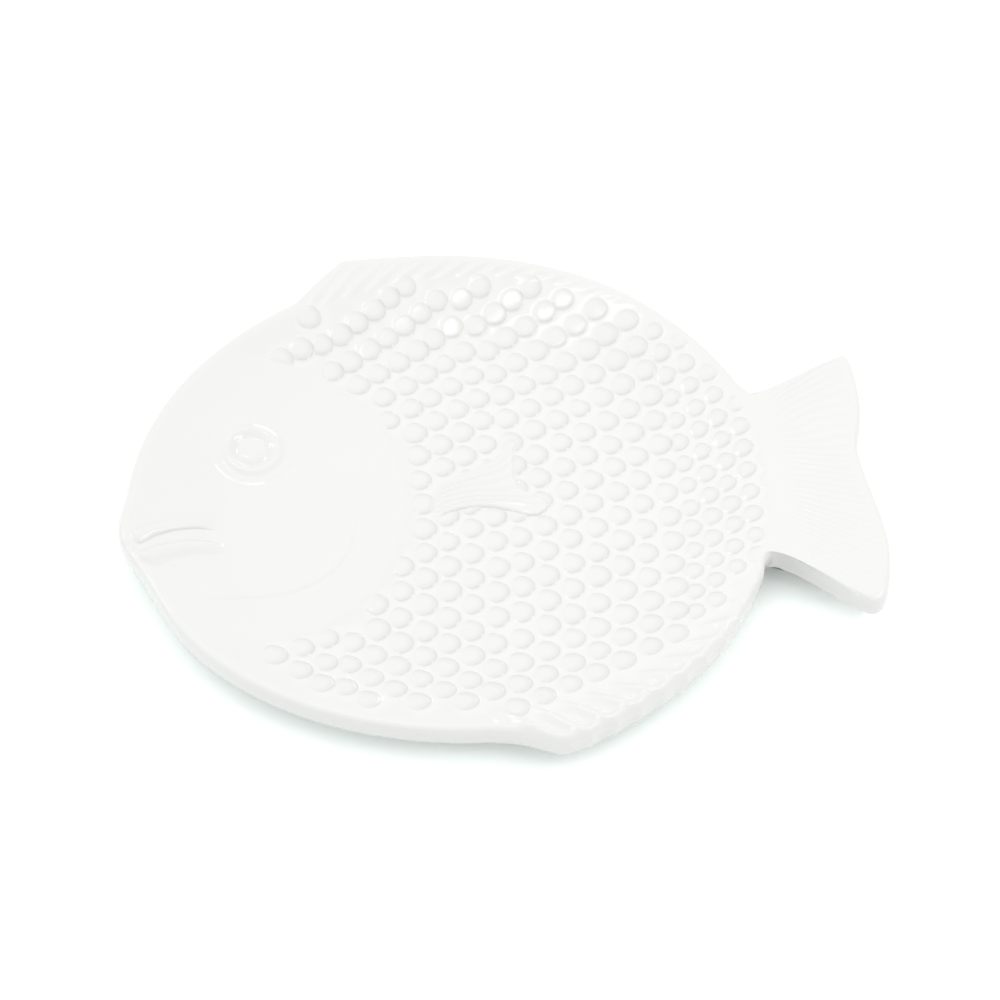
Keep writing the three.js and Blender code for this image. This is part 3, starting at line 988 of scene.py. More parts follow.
@dataclass(frozen=True)
class ReliefTrees:
    """Geometry Nodes trees that press the repeated relief into the plate's skin."""

    shape: PadShape = PadShape()

    def pad_form(self) -> Tree:
        """A group that gives the height of the scale nearest to a place, and the painted highlight and
        shade there.

        Returns:
            The group, with the scales as points in its Scales input.
        """
        tree = bpy.data.node_groups.new("scale form", "GeometryNodeTree")
        kit = NodeKit(tree)
        kinds = {"Scales": "Geometry", "Look At": "Vector", "Edge Softness": "Float"}
        given = kit.interface(Side.INPUT, kinds).outputs
        names = ("Height", "Top", "Pooling", "Thinning")
        result = kit.interface(Side.OUTPUT, {name: "Float" for name in names}).inputs
        shape = self.shape
        scale = NearestScale(kit, given["Scales"], given["Look At"])
        place = kit.add("GeometryNodeInputPosition").outputs[0]
        local = kit.vector("SUBTRACT", place, scale.read(place)).outputs["Vector"]
        heading = scale.named(ScaleMark.HEADING)
        length, width, rise = kit.parts(scale.named(ScaleMark.SIZE))
        forward = kit.vector("DOT_PRODUCT", local, heading).outputs["Value"]
        aside = kit.parts(kit.vector("CROSS_PRODUCT", heading, local).outputs["Vector"])[2]
        half = kit.math("MULTIPLY", width, 0.5)
        squashed = kit.math("MULTIPLY", forward, kit.math("DIVIDE", width, length))
        squares = kit.math("ADD", kit.product(squashed, squashed), kit.product(aside, aside))
        reach = kit.math("SQRT", squares)
        within = kit.math("SUBTRACT", half, reach)
        share = kit.math("DIVIDE", reach, half)

        softer = kit.ramp_over(forward, length, shape.rear, shape.rear_softness)
        top = kit.ramp(within, 0.0, kit.math("MULTIPLY", given["Edge Softness"], softer))
        tilt = kit.math("MULTIPLY", kit.math("DIVIDE", forward, length), shape.tilt)
        tilt = kit.math("ADD", tilt, shape.middle)
        dome = kit.math("SUBTRACT", 1.0, kit.product(share, share, shape.dome))
        lean = kit.vector("DOT_PRODUCT", local, scale.named(ScaleMark.LEAN)).outputs["Value"]
        level = kit.math("ADD", kit.product(tilt, dome, rise), lean)
        kit.feed(result["Height"], kit.math("MULTIPLY", top, level))
        kit.feed(result["Top"], top)

        # Painted highlight in the web just ahead of the crisp edge, on the side away from the light.
        ahead = kit.ramp_over(forward, length, shape.ahead)
        beyond = kit.ramp_over(within, length, shape.painted_highlight_reach)
        kit.feed(result["Pooling"], kit.math("MULTIPLY", ahead, beyond))
        # Painted shade along the crisp front edge and over the front of the top, on the side away from the
        # light.
        step = kit.product(top, kit.math("SUBTRACT", 1.0, top), 4.0)
        painted_shading = kit.product(kit.ramp(share, shape.painted_shading_from, 1.0), top, shape.painted_shading)
        kit.feed(result["Thinning"], kit.math("MULTIPLY", ahead, kit.math("MAXIMUM", step, painted_shading)))
        return tree

    def scales(self) -> Tree:
        """The tree that raises the scales on a fine skin and stores their painted highlight and shade.

        Returns:
            The tree, with the scales' points and sizes as named inputs.
        """
        group = self.pad_form()
        tree = bpy.data.node_groups.new("raised scales", "GeometryNodeTree")
        kit = NodeKit(tree)
        kinds = {"Geometry": "Geometry", "Scales": "Object", "Edge Softness": "Float", "Overlap": "Float",
                 "Glaze": "Material"}
        given = kit.interface(Side.INPUT, kinds).outputs
        points = kit.add("GeometryNodeObjectInfo")
        kit.feed(points.inputs["Object"], given["Scales"])
        place = kit.add("GeometryNodeInputPosition").outputs[0]
        back_step = kit.add("ShaderNodeCombineXYZ")
        kit.feed(back_step.inputs["X"], given["Overlap"])
        before = kit.vector("SUBTRACT", place, back_step.outputs[0]).outputs["Vector"]
        pads = []
        for look_at in (place, before):
            pad = kit.add("GeometryNodeGroup", node_tree=group)
            kit.feed(pad.inputs["Scales"], points.outputs["Geometry"])
            kit.feed(pad.inputs["Look At"], look_at)
            kit.feed(pad.inputs["Edge Softness"], given["Edge Softness"])
            pads.append(pad.outputs)

        def highest(name: str) -> Socket:
            """The larger of what both scales give."""
            return kit.math("MAXIMUM", *[pad[name] for pad in pads])

        mask = kit.named("FLOAT", Mark.SCALE_MASK)
        low = kit.math("SUBTRACT", 1.0, highest("Top"))
        # Painted light: above 0 the web ahead of a scale is painted lighter, below 0 its front edge is
        # painted darker.
        thick = kit.math("SUBTRACT", kit.math("MULTIPLY", low, highest("Pooling")), highest("Thinning"))
        kept = kit.add("GeometryNodeStoreNamedAttribute", data_type="FLOAT", domain="POINT")
        kit.feed(kept.inputs["Geometry"], given["Geometry"])
        kit.feed(kept.inputs["Name"], Mark.POOL.value)
        kit.feed(kept.inputs["Value"], kit.math("MULTIPLY", thick, mask))
        height = kit.math("MULTIPLY", highest("Height"), mask)
        self.finish(kit, kept.outputs["Geometry"], height, given["Glaze"])
        return tree

    def ribs(self) -> Tree:
        """The tree that raises ribs on fins and tail from each point's place across the ribs.

        Returns:
            The tree, with the least softness of the grooves as a named input.
        """
        tree = bpy.data.node_groups.new("raised ribs", "GeometryNodeTree")
        kit = NodeKit(tree)
        kinds = {"Geometry": "Geometry", "Groove Softness": "Float", "Glaze": "Material"}
        given = kit.interface(Side.INPUT, kinds).outputs
        wave = kit.math("SINE", kit.math("MULTIPLY", kit.named("FLOAT", Mark.RIB_PLACE), math.pi))
        soft = kit.math("ADD", kit.named("FLOAT", Mark.RIB_SOFT), given["Groove Softness"])
        rounded = kit.math("SQRT", kit.math("ADD", kit.product(wave, wave), soft))
        level = kit.math("SUBTRACT", rounded, RIB_MEAN)
        height = kit.math("MULTIPLY", level, kit.named("FLOAT", Mark.RIB_RISE))
        self.finish(kit, given["Geometry"], height, given["Glaze"])
        return tree

    def finish(self, kit: NodeKit, skin: Socket, height: Socket, glaze: Socket) -> None:
        """Lifts the skin by a height and ends the tree.

        Args:
            kit: The tree's kit.
            skin: Socket of the skin's geometry.
            height: Socket of the height to lift by, in metres.
            glaze: Socket of the material.
        """
        lift = kit.add("ShaderNodeCombineXYZ")
        kit.feed(lift.inputs["Z"], height)
        moved = kit.add("GeometryNodeSetPosition")
        kit.feed(moved.inputs["Geometry"], skin)
        kit.feed(moved.inputs["Offset"], lift.outputs[0])
        real = kit.add("GeometryNodeRealizeInstances")
        kit.feed(real.inputs["Geometry"], moved.outputs["Geometry"])
        dressed = kit.add("GeometryNodeSetMaterial")
        kit.feed(dressed.inputs["Geometry"], real.outputs["Geometry"])
        kit.feed(dressed.inputs["Material"], glaze)
        result = kit.interface(Side.OUTPUT, {"Geometry": "Geometry"})
        kit.feed(result.inputs["Geometry"], dressed.outputs["Geometry"])


def link(name: str, data: bpy.types.ID) -> Object:
    """Puts an object in the scene.

    Args:
        name: The object's name.
        data: Its mesh, lamp or camera.

    Returns:
        The object.
    """
    obj = bpy.data.objects.new(name, data)
    bpy.context.scene.collection.objects.link(obj)
    return obj


def apply_tree(obj: Object, tree: Tree, values: dict[str, object]) -> None:
    """Runs a tree on an object and keeps the result as its plain mesh, with no modifier.

    Args:
        obj: Object to change.
        tree: Tree to run.
        values: Values of the tree's named inputs.
    """
    modifier = obj.modifiers.new(tree.name, "NODES")
    modifier.node_group = tree
    for item in tree.interface.items_tree:
        if item.item_type == "SOCKET" and item.in_out == "INPUT" and item.name in values:
            modifier[item.identifier] = values[item.name]
    bpy.context.view_layer.update()
    evaluated = obj.evaluated_get(bpy.context.evaluated_depsgraph_get())
    mesh = bpy.data.meshes.new_from_object(evaluated)
    obj.modifiers.remove(modifier)
    old = obj.data
    obj.data = mesh
    bpy.data.meshes.remove(old)


def make_mesh(name: str, points: Array, faces: list[Array]) -> Mesh:
    """A mesh from points in millimetres.

    Args:
        name: Name of the mesh.
        points: Points, one row each.
        faces: Arrays of faces, each array with faces of one size.

    Returns:
        The mesh, in metres and smooth.
    """
    mesh = bpy.data.meshes.new(name)
    mesh.vertices.add(len(points))
    mesh.vertices.foreach_set("co", (np.asarray(points, float) * MM).astype(np.float32).ravel())
    loops = np.concatenate([np.asarray(part, np.int32).ravel() for part in faces])
    sizes = np.concatenate([np.full(len(part), np.asarray(part).shape[1], np.int32) for part in faces])
    starts = np.concatenate([[0], np.cumsum(sizes)[:-1]]).astype(np.int32)
    mesh.loops.add(len(loops))
    mesh.loops.foreach_set("vertex_index", loops)
    mesh.polygons.add(len(sizes))
    mesh.polygons.foreach_set("loop_start", starts)
    mesh.polygons.foreach_set("use_smooth", np.ones(len(sizes), bool))
    mesh.update(calc_edges=True)
    mesh.validate()
    return mesh


def set_marks(mesh: Mesh, marks: dict[Mark, Array]) -> None:
    """Stores values on a mesh's points.

    Args:
        mesh: The mesh.
        marks: Values of all points, by their names.
    """
    for mark, values in marks.items():
        attribute = mesh.attributes.new(mark.value, "FLOAT", "POINT")
        attribute.data.foreach_set("value", values.astype(np.float32))


def place_piece(name: str, mesh: Mesh, material: Material, node: str) -> Object:
    """Puts a finished piece in the scene and ties it to the frame.

    Args:
        name: Name of the piece.
        mesh: Its mesh.
        material: Its finish.
        node: The frame's node that the piece stands for.

    Returns:
        The piece's object.
    """
    obj = link(name, mesh)
    mesh.materials.clear()
    mesh.materials.append(material)
    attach(obj, "root")
    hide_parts(node)
    LOG.info("%s: %d faces, stands for %s", name, len(mesh.polygons), node)
    return obj


def quads_of(number: Array, wrapped: bool = False) -> Array:
    """Quads between the neighbours in a grid of points.

    Args:
        number: Point numbers, in rows and columns.
        wrapped: Whether the last column joins the first.

    Returns:
        The quads, one row each.
    """
    follow = np.roll(number, -1, 1)
    quads = np.stack([number[:-1], number[1:], follow[1:], follow[:-1]], -1)
    return (quads if wrapped else quads[:, :-1]).reshape(-1, 4)


def closed_patch(x: Array, y: Array, top: Array, bottom: Array) -> tuple[Array, list[Array]]:
    """A patch with a top, a bottom and walls round it.

    Args:
        x: Places along the plate, in rows and columns.
        y: Places across the plate.
        top: Heights of the top.
        bottom: Heights of the bottom.

    Returns:
        The patch's points, those of the top first, and its faces.
    """
    number = np.arange(x.size).reshape(x.shape)
    quads = quads_of(number)
    rim = np.concatenate([number[:-1, 0], number[-1, :-1], number[:0:-1, -1], number[0, :0:-1]])
    after = np.roll(rim, -1)
    walls = np.column_stack([rim, rim + x.size, after + x.size, after])
    points = np.vstack([np.dstack([x, y, level]).reshape(-1, 3) for level in (top, bottom)])
    return points, [quads, quads[:, ::-1] + x.size, walls]


def ring_between(plan: Array, inner: Array, outer: Array, merge: float = 1e-5) -> Array:
    """Triangles that close the band between two loops.

    Args:
        plan: Points of the plan, one row each.
        inner: Point numbers of the inner loop, in order.
        outer: Point numbers of the outer loop, in order.
        merge: Distance below which points count as one.

    Returns:
        Triangles that face up, also across the inner loop where it steps back.
    """
    numbers = np.concatenate([inner, outer])
    spots = [Vector(spot) for spot in plan[numbers]]
    edges = [(at, (at + 1) % len(inner)) for at in range(len(inner))]
    edges += [(len(inner) + at, len(inner) + (at + 1) % len(outer)) for at in range(len(outer))]
    _, _, faces, origin, *_ = delaunay_2d_cdt(spots, edges, [], 1, merge)
    source = np.array([first[0] for first in origin])
    return numbers[source[np.array(faces)]]


@dataclass
class EdgeColumns:
    """Columns of points that cross the rim, the fins and the tail, from the well out to the edge.

    Given are their inner and outer ends in plan, the numbers of their parts and their angles in degrees.
    Worked out are their lengths, the way each one runs, the way the edge runs there and how squarely the
    two meet.
    """

    inner: Array
    outer: Array
    part: Array
    angle: Array
    least_square: float = 0.35
    length: Array = field(init=False)
    across: Array = field(init=False)
    tangent: Array = field(init=False)
    square: Array = field(init=False)

    def __post_init__(self) -> None:
        """Works out how each column lies."""
        across = self.outer - self.inner
        self.length = np.hypot(*across.T)
        self.across = across / self.length[:, None]
        tangent = np.roll(self.outer, -1, 0) - np.roll(self.outer, 1, 0)
        self.tangent = tangent / np.hypot(*tangent.T)[:, None]
        crossed = self.across[:, 0] * self.tangent[:, 1] - self.across[:, 1] * self.tangent[:, 0]
        self.square = np.clip(np.abs(crossed), self.least_square, 1)

    def drawn_in(self, distance: float) -> Array:
        """Points of the columns that lie a distance inside the edge."""
        return self.outer - self.across * (distance / self.square)[:, None]


@dataclass
class PlateSkin:
    """The plate's whole glazed skin: well, face, rim, fins, tail, edge and underside in one surface.

    It is made whole, pressed with its relief, and then cut into the parts that the frame names.
    """

    oval: Oval
    face: FaceRelief
    back_fin: EdgeFin
    belly_fin: EdgeFin
    tail: TailFin
    scales: ScaleField
    side_fin: SideFinPlan
    grid: float = 0.5
    grid_margin: float = 6.0
    grid_clear: float = 0.7
    collar: float = 6.0
    rim_step: float = 0.4
    fin_step: float = 0.24
    flat_rows: int = 46
    round_rows: int = 8
    round_most: float = 0.6
    round_blend: int = 60
    fin_round: float = 1.8
    front_round: float = 4.6
    fin_inset: float = 4.6
    groove_soft: float = 0.02
    rib_clear: float = 2.2
    rib_run_out: float = 3.0
    tail_columns: int = 420
    wall_top: float = 15.0
    wall_clear: float = 0.6
    wall_rows: tuple[Spot, ...] = (
        (0.0, 15.0), (0.1, 13.0), (0.35, 11.6), (0.8, 10.6), (1.5, 9.85), (2.6, 9.5),
    )
    under_shares: tuple[float, ...] = (0.3, 0.65, 1.0)
    under_insets: tuple[float, ...] = (9.0, 15.0, 24.0, 33.0, 40.0, 52.0, 70.0, 90.0, 104.0)
    under_columns: int = 240
    halves_meet: float = 2.0
    points: Array = field(init=False)
    faces: list[Array] = field(init=False)
    parts: Array = field(init=False)
    marks: dict[Mark, Array] = field(init=False)

    def rib_radius(self) -> float:
        """Radius that the fins' ribs are spaced on."""
        return (self.oval.back + self.oval.tail) / 2

    def base_height(self, x: Array, y: Array) -> Array:
        """Height of the top surface before its repeated relief is pressed in."""
        inset = self.oval.inset_at(x, y)
        return self.oval.well(inset) + self.face.height(x, y, inset)

    def edge_angles(self) -> Array:
        """Angles of the columns from the tail's top round to its bottom, closer along the fins.

        Returns:
            Angles in degrees, which grow past 180.
        """
        stops = (self.tail.high_angle, self.back_fin.end, self.back_fin.start, self.belly_fin.start + 360,
                 self.belly_fin.end + 360, self.tail.low_angle + 360)
        steps = (self.rim_step, self.fin_step, self.rim_step, self.fin_step, self.rim_step)
        stretches = zip(stops[:-1], stops[1:], steps)
        return np.concatenate([np.linspace(low, high, round((high - low) / step), endpoint=False)
                               for low, high, step in stretches])

    def edge_columns(self) -> EdgeColumns:
        """Lays out the columns that cross the rim, the fins and the tail.

        Returns:
            The columns, once round the plate.
        """
        back, belly, tail = self.back_fin, self.belly_fin, self.tail
        angles = self.edge_angles()
        turned = np.where(angles > 180, angles - 360, angles)
        out = back.reach(turned) + belly.reach(turned)
        part = np.full(len(angles), Part.RIM.number)
        part[back.reach(turned) > 0] = Part.BACK_FIN.number
        part[belly.reach(turned) > 0] = Part.BELLY_FIN.number
        flutes = np.abs(np.sin(np.pi * belly.rib_place(turned, out, self.rib_radius()))) - RIB_MEAN
        scallops = belly.scallop * flutes * ease(*belly.scallop_reach, out)
        out = out + np.where(part == Part.BELLY_FIN.number, scallops, 0.0)
        outer = self.oval.point(np.radians(angles), -out)
        outline = [tuple(outer[-1]), *tail.outline[1:-1], tuple(outer[0])]
        tail_edge = curve_through(outline, self.tail_columns)[1:-1]
        share = np.linspace(0, 1, self.tail_columns)[1:-1]
        tail_angles = tail.low_angle + (tail.high_angle - tail.low_angle) * share
        every = np.concatenate([turned, tail_angles])
        inner = self.oval.point(np.radians(np.concatenate([angles, tail_angles])), self.collar)
        part = np.concatenate([part, np.full(len(tail_edge), Part.TAIL.number)])
        return EdgeColumns(inner, np.vstack([outer, tail_edge]), part, every)

    def edge_radius(self, columns: EdgeColumns) -> Array:
        """Radius of the rounded edge, which blends from the rim's into the fins' and grows at the front.

        Args:
            columns: The columns.

        Returns:
            The radius at each column.
        """
        wide = self.round_blend
        kernel = np.hanning(wide + 1)
        plain = (columns.part == Part.RIM.number).astype(float)
        plain = np.concatenate([plain[-wide:], plain, plain[:wide]])
        plain = np.convolve(plain, kernel / kernel.sum(), "same")[wide:-wide]
        fins = self.fin_round + (self.front_round - self.fin_round) * np.clip(columns.tangent[:, 0], 0, 1)
        return fins + (self.oval.edge_round - fins) * plain

    def top_rows(self, columns: EdgeColumns) -> Array:
        """Rows of points from the well's collar out and over the rounded edge.

        Args:
            columns: The columns.

        Returns:
            Points, by row and column.
        """
        radius = self.edge_radius(columns)
        lead = np.minimum(radius / columns.square, self.round_most * columns.length)
        flat = np.arange(self.flat_rows + 1) / self.flat_rows
        turn = math.pi / 2 * np.arange(1, self.round_rows + 1) / self.round_rows
        rounded = columns.length - np.outer(1 - np.sin(turn), lead)
        run = np.vstack([np.outer(flat, columns.length - lead), rounded])
        plan = columns.inner + columns.across * run[..., None]
        drop = np.vstack([np.zeros((len(flat), len(radius))), np.outer(1 - np.cos(turn), radius)])
        to_edge = np.hypot(*np.moveaxis(columns.outer - plan, -1, 0))
        lip = self.belly_fin.lip_height(columns.angle, to_edge)
        return np.dstack([plan, self.base_height(plan[..., 0], plan[..., 1]) - drop + lip])

    def wall_and_under(self, columns: EdgeColumns, edge_top: Array) -> Array:
        """Rows of points down the outer wall and in along the underside.

        Args:
            columns: The columns.
            edge_top: Height of each column's last point on top.

        Returns:
            Points, by row and column.
        """
        bottom = self.oval.edge_bottom
        rows = []
        for distance, level in self.wall_rows:
            share = (level - bottom) / (self.wall_top - bottom)
            height = bottom + share * (np.minimum(edge_top - self.wall_clear, self.wall_top) - bottom)
            rows.append(np.column_stack([columns.drawn_in(distance), height]))
        start = rows[-1][:, :2]
        for share in self.under_shares:
            plan = start + (columns.inner - start) * share
            height = np.minimum(bottom, self.oval.underside(self.oval.inset_at(plan[:, 0], plan[:, 1])))
            rows.append(np.column_stack([plan, height]))
        return np.array(rows)

    def under_rings(self) -> Array:
        """Rings of points on the underside.

        Returns:
            Points, by ring and column.
        """
        turn = np.linspace(0, 2 * math.pi, self.under_columns, endpoint=False)
        rings = []
        for inset in self.under_insets:
            level = np.full(self.under_columns, float(self.oval.underside(np.array(inset))))
            rings.append(np.column_stack([self.oval.point(turn, inset), level]))
        return np.array(rings)

    def well_grid(self) -> tuple[Array, Array]:
        """The square grid that covers the well inside the rim's columns.

        Returns:
            Points of the grid in plan, and its squares.
        """
        low = self.oval.point(np.radians([180.0, 270.0]), 0).min(0) - self.grid_margin
        high = self.oval.point(np.radians([0.0, 90.0]), 0).max(0) + self.grid_margin
        axes = [np.arange(start, stop, self.grid) for start, stop in zip(low, high)]
        x, y = np.meshgrid(*axes, indexing="ij")
        inside = self.oval.inset_at(x, y) > self.collar + self.grid_clear * self.grid
        cell = inside[:-1, :-1] & inside[1:, :-1] & inside[1:, 1:] & inside[:-1, 1:]
        squares = quads_of(np.arange(x.size).reshape(x.shape))[cell.ravel()]
        used, squares = np.unique(squares, return_inverse=True)
        return np.column_stack([x.ravel()[used], y.ravel()[used]]), squares.reshape(-1, 4).astype(np.int32)

    def outer_loop(self, squares: Array) -> Array:
        """Point numbers round the outside of a grid of squares, anticlockwise.

        Args:
            squares: The squares, one row each.

        Returns:
            Point numbers in order.
        """
        edges = np.concatenate([squares[:, [side, (side + 1) % 4]] for side in range(4)])
        keys = set(map(tuple, edges.tolist()))
        following = {start: end for start, end in keys if (end, start) not in keys}
        first = min(following)
        loop, at = [first], following[first]
        while at != first:
            loop.append(at)
            at = following[at]
        return np.array(loop, np.int32)

    def on_grid(self, spots: Array, plan: Array, squares: Array) -> Array:
        """Whether spots of the plan lie on one of the grid's squares.

        Args:
            spots: The spots, one row each.
            plan: The grid's points.
            squares: The grid's squares.

        Returns:
            True for each spot that does.
        """
        corner = plan.min(0) - self.grid / 2
        taken = np.floor((plan[squares[:, 0]] - corner) / self.grid).astype(int)
        taken = set(map(tuple, taken.tolist()))
        cells = np.floor((spots - corner - self.grid / 2) / self.grid).astype(int)
        return np.array([tuple(cell) in taken for cell in cells.tolist()])

    def build(self) -> None:
        """Makes the whole skin's points, faces, part numbers and marks."""
        columns = self.edge_columns()
        top = self.top_rows(columns)
        strip = np.concatenate([top, self.wall_and_under(columns, top[-1, :, 2])])
        plan, squares = self.well_grid()
        rings = self.under_rings()
        well = np.column_stack([plan, self.base_height(plan[:, 0], plan[:, 1])])
        middle = (*self.oval.centre, self.oval.foot_height)
        self.points = np.vstack([well, strip.reshape(-1, 3), rings.reshape(-1, 3), [middle]])
        number = len(well) + np.arange(strip.size // 3).reshape(strip.shape[:2])
        under = number[-1, -1] + 1 + np.arange(rings.size // 3).reshape(rings.shape[:2])
        bands = quads_of(number, True)
        under_bands = quads_of(under, True)
        last = np.full(self.under_columns, len(self.points) - 1)
        cap = np.column_stack([under[-1], last, np.roll(under[-1], -1)])
        top_band = self.top_band(plan, squares, number[0])
        triangles = np.vstack([top_band, self.under_band(under[0], number[-1]), cap])
        self.faces = [np.vstack([squares, bands, under_bands]), triangles]
        plain = np.full(len(under_bands) + len(triangles), Part.RIM.number)
        well_parts = self.well_parts(plan[squares].mean(1))
        self.parts = np.concatenate([well_parts, self.strip_parts(columns, strip), plain])
        self.marks = self.relief_marks(number, len(top))

    def top_band(self, plan: Array, squares: Array, collar: Array) -> Array:
        """Triangles between the well's grid and the columns' inner ends.

        Args:
            plan: The grid's points.
            squares: The grid's squares.
            collar: Point numbers of the columns' inner ends.

        Returns:
            The triangles.
        """
        band = ring_between(self.points[:, :2], self.outer_loop(squares), collar)
        return band[~self.on_grid(self.points[band, :2].mean(1), plan, squares)]

    def under_band(self, ring: Array, collar: Array) -> Array:
        """Triangles between the underside's first ring and the columns' last row, facing down."""
        band = ring_between(self.points[:, :2], ring, collar)
        return band[~np.isin(band, ring).all(1)][:, ::-1]

    def well_parts(self, middles: Array) -> Array:
        """Part numbers of the grid's squares.

        Args:
            middles: The squares' middles.

        Returns:
            One number for each square.
        """
        in_face = self.face.within(middles[:, 0], middles[:, 1]) > 0
        in_back = middles[:, 1] > self.oval.centre[1] + self.halves_meet
        halves = np.where(in_back, Part.WELL_BACK.number, Part.WELL_FRONT.number)
        return np.where(in_face, Part.FACE.number, halves)

    def strip_parts(self, columns: EdgeColumns, strip: Array) -> Array:
        """Part numbers of the quads along the columns, where the fins start a little inside the rim.

        Args:
            columns: The columns.
            strip: Their points, by row and column.

        Returns:
            One number for each quad.
        """
        parts = np.tile(columns.part, (len(strip) - 1, 1))
        inset = self.oval.inset_at(strip[:-1, :, 0], strip[:-1, :, 1])
        parts[inset > self.fin_inset] = Part.RIM.number
        return parts.ravel()

    def relief_marks(self, number: Array, top_rows: int) -> dict[Mark, Array]:
        """Works out where the scales and ribs rise on the skin.

        Args:
            number: Point numbers of the columns, by row.
            top_rows: Rows of the columns that lie on top.

        Returns:
            The marks of all points.
        """
        x, y = self.points[:, 0], self.points[:, 1]
        inset, angle = self.oval.inset_at(x, y), self.oval.angle_at(x, y)
        on_top = (np.arange(len(x)) < number[top_rows, 0]).astype(float)
        mask = on_top * ease(*self.scales.face_soft, self.face.within(x, y))
        mask *= ease(*self.scales.rim_soft, inset)
        mask *= ease(*self.scales.fin_soft, self.side_fin.within(x, y))
        place, rise, soft = np.zeros((3, len(x)))
        for fin in (self.back_fin, self.belly_fin):
            strength = fin.rib_strength(angle, inset) * on_top
            ribbed = strength > 0
            place[ribbed] = fin.rib_place(angle, -inset, self.rib_radius())[ribbed]
            rise[ribbed] = fin.rib_rise * strength[ribbed]
            soft[ribbed] = fin.rib_soft
        strength = self.tail.ray_strength(x, y) * on_top
        ribbed = strength > 0
        place[ribbed] = self.tail.ray_share(x, y)[0][ribbed] * self.tail.rays
        rise[ribbed] = self.tail.ray_rise * strength[ribbed]
        strip = self.points[number, :2]
        to_edge = np.hypot(*np.moveaxis(strip - strip[top_rows - 1], -1, 0))
        rise[number] *= ease(self.rib_clear, self.rib_clear + self.rib_run_out, to_edge)
        return {Mark.SCALE_MASK: mask, Mark.RIB_PLACE: place, Mark.RIB_RISE: rise * MM, Mark.RIB_SOFT: soft}

    def scale_points(self) -> Object:
        """The scales as points.

        Returns:
            A working object whose points carry their scales' heading, size and lean.
        """
        pads = self.scales.pads(self.oval, self.face)
        x, y = np.array([(pad.x, pad.y) for pad in pads]).T
        spots = np.column_stack([x, y, self.base_height(x, y)]) * MM
        mesh = bpy.data.meshes.new("scale points")
        mesh.vertices.add(len(pads))
        mesh.vertices.foreach_set("co", spots.astype(np.float32).ravel())
        headings = [(math.cos(pad.heading), math.sin(pad.heading), 0.0) for pad in pads]
        carried = {
            ScaleMark.HEADING: np.array(headings),
            ScaleMark.SIZE: np.array([(pad.length, pad.width, pad.rise) for pad in pads]) * MM,
            ScaleMark.LEAN: np.array([(*pad.lean, 0.0) for pad in pads]),
        }
        for mark, values in carried.items():
            attribute = mesh.attributes.new(mark.value, "FLOAT_VECTOR", "POINT")
            attribute.data.foreach_set("vector", values.astype(np.float32).ravel())
        LOG.info("scales: %d", len(pads))
        return link("scale points", mesh)

    def press(self, glaze: Material) -> Object:
        """Presses scales and ribs into the whole skin.

        Args:
            glaze: The skin's finish.

        Returns:
            A working object with the pressed skin.
        """
        mesh = make_mesh("whole skin", self.points, self.faces)
        set_marks(mesh, self.marks)
        skin = link("whole skin", mesh)
        spots = self.scale_points()
        trees = ReliefTrees(self.scales.shape)
        apply_tree(skin, trees.scales(), {
            "Scales": spots, "Edge Softness": self.scales.edge_soft * MM,
            "Overlap": self.scales.shape.overlap * self.scales.length * MM, "Glaze": glaze,
        })
        apply_tree(skin, trees.ribs(), {"Groove Softness": self.groove_soft, "Glaze": glaze})
        bpy.data.objects.remove(spots)
        return skin

    def cut(self, skin: Object, glaze: Material) -> None:
        """Cuts the pressed skin into the named parts, which keep the whole skin's smooth shading.

        Args:
            skin: The working object with the pressed skin, which is removed.
            glaze: The parts' finish.
        """
        mesh = skin.data
        points, normals = np.zeros((2, len(mesh.vertices) * 3), np.float32)
        mesh.vertices.foreach_get("co", points)
        mesh.vertex_normals.foreach_get("vector", normals)
        points, normals = points.reshape(-1, 3).astype(float) / MM, normals.reshape(-1, 3)
        # Each part keeps the mark of painted highlight and shade.
        pool = np.zeros(len(points), np.float32)
        mesh.attributes[Mark.POOL.value].data.foreach_get("value", pool)
        split = np.split(self.parts, [len(self.faces[0])])
        for part in Part:
            groups = [faces[numbers == part.number] for faces, numbers in zip(self.faces, split)]
            used = np.unique(np.concatenate([group.ravel() for group in groups]))
            renumber = np.zeros(len(points), np.int32)
            renumber[used] = np.arange(len(used))
            piece = make_mesh(part.piece, points[used], [renumber[group] for group in groups if len(group)])
            piece.normals_split_custom_set_from_vertices(normals[used].tolist())
            set_marks(piece, {Mark.POOL: pool[used]})
            place_piece(part.piece, piece, glaze, part.node)
        bpy.data.objects.remove(skin)


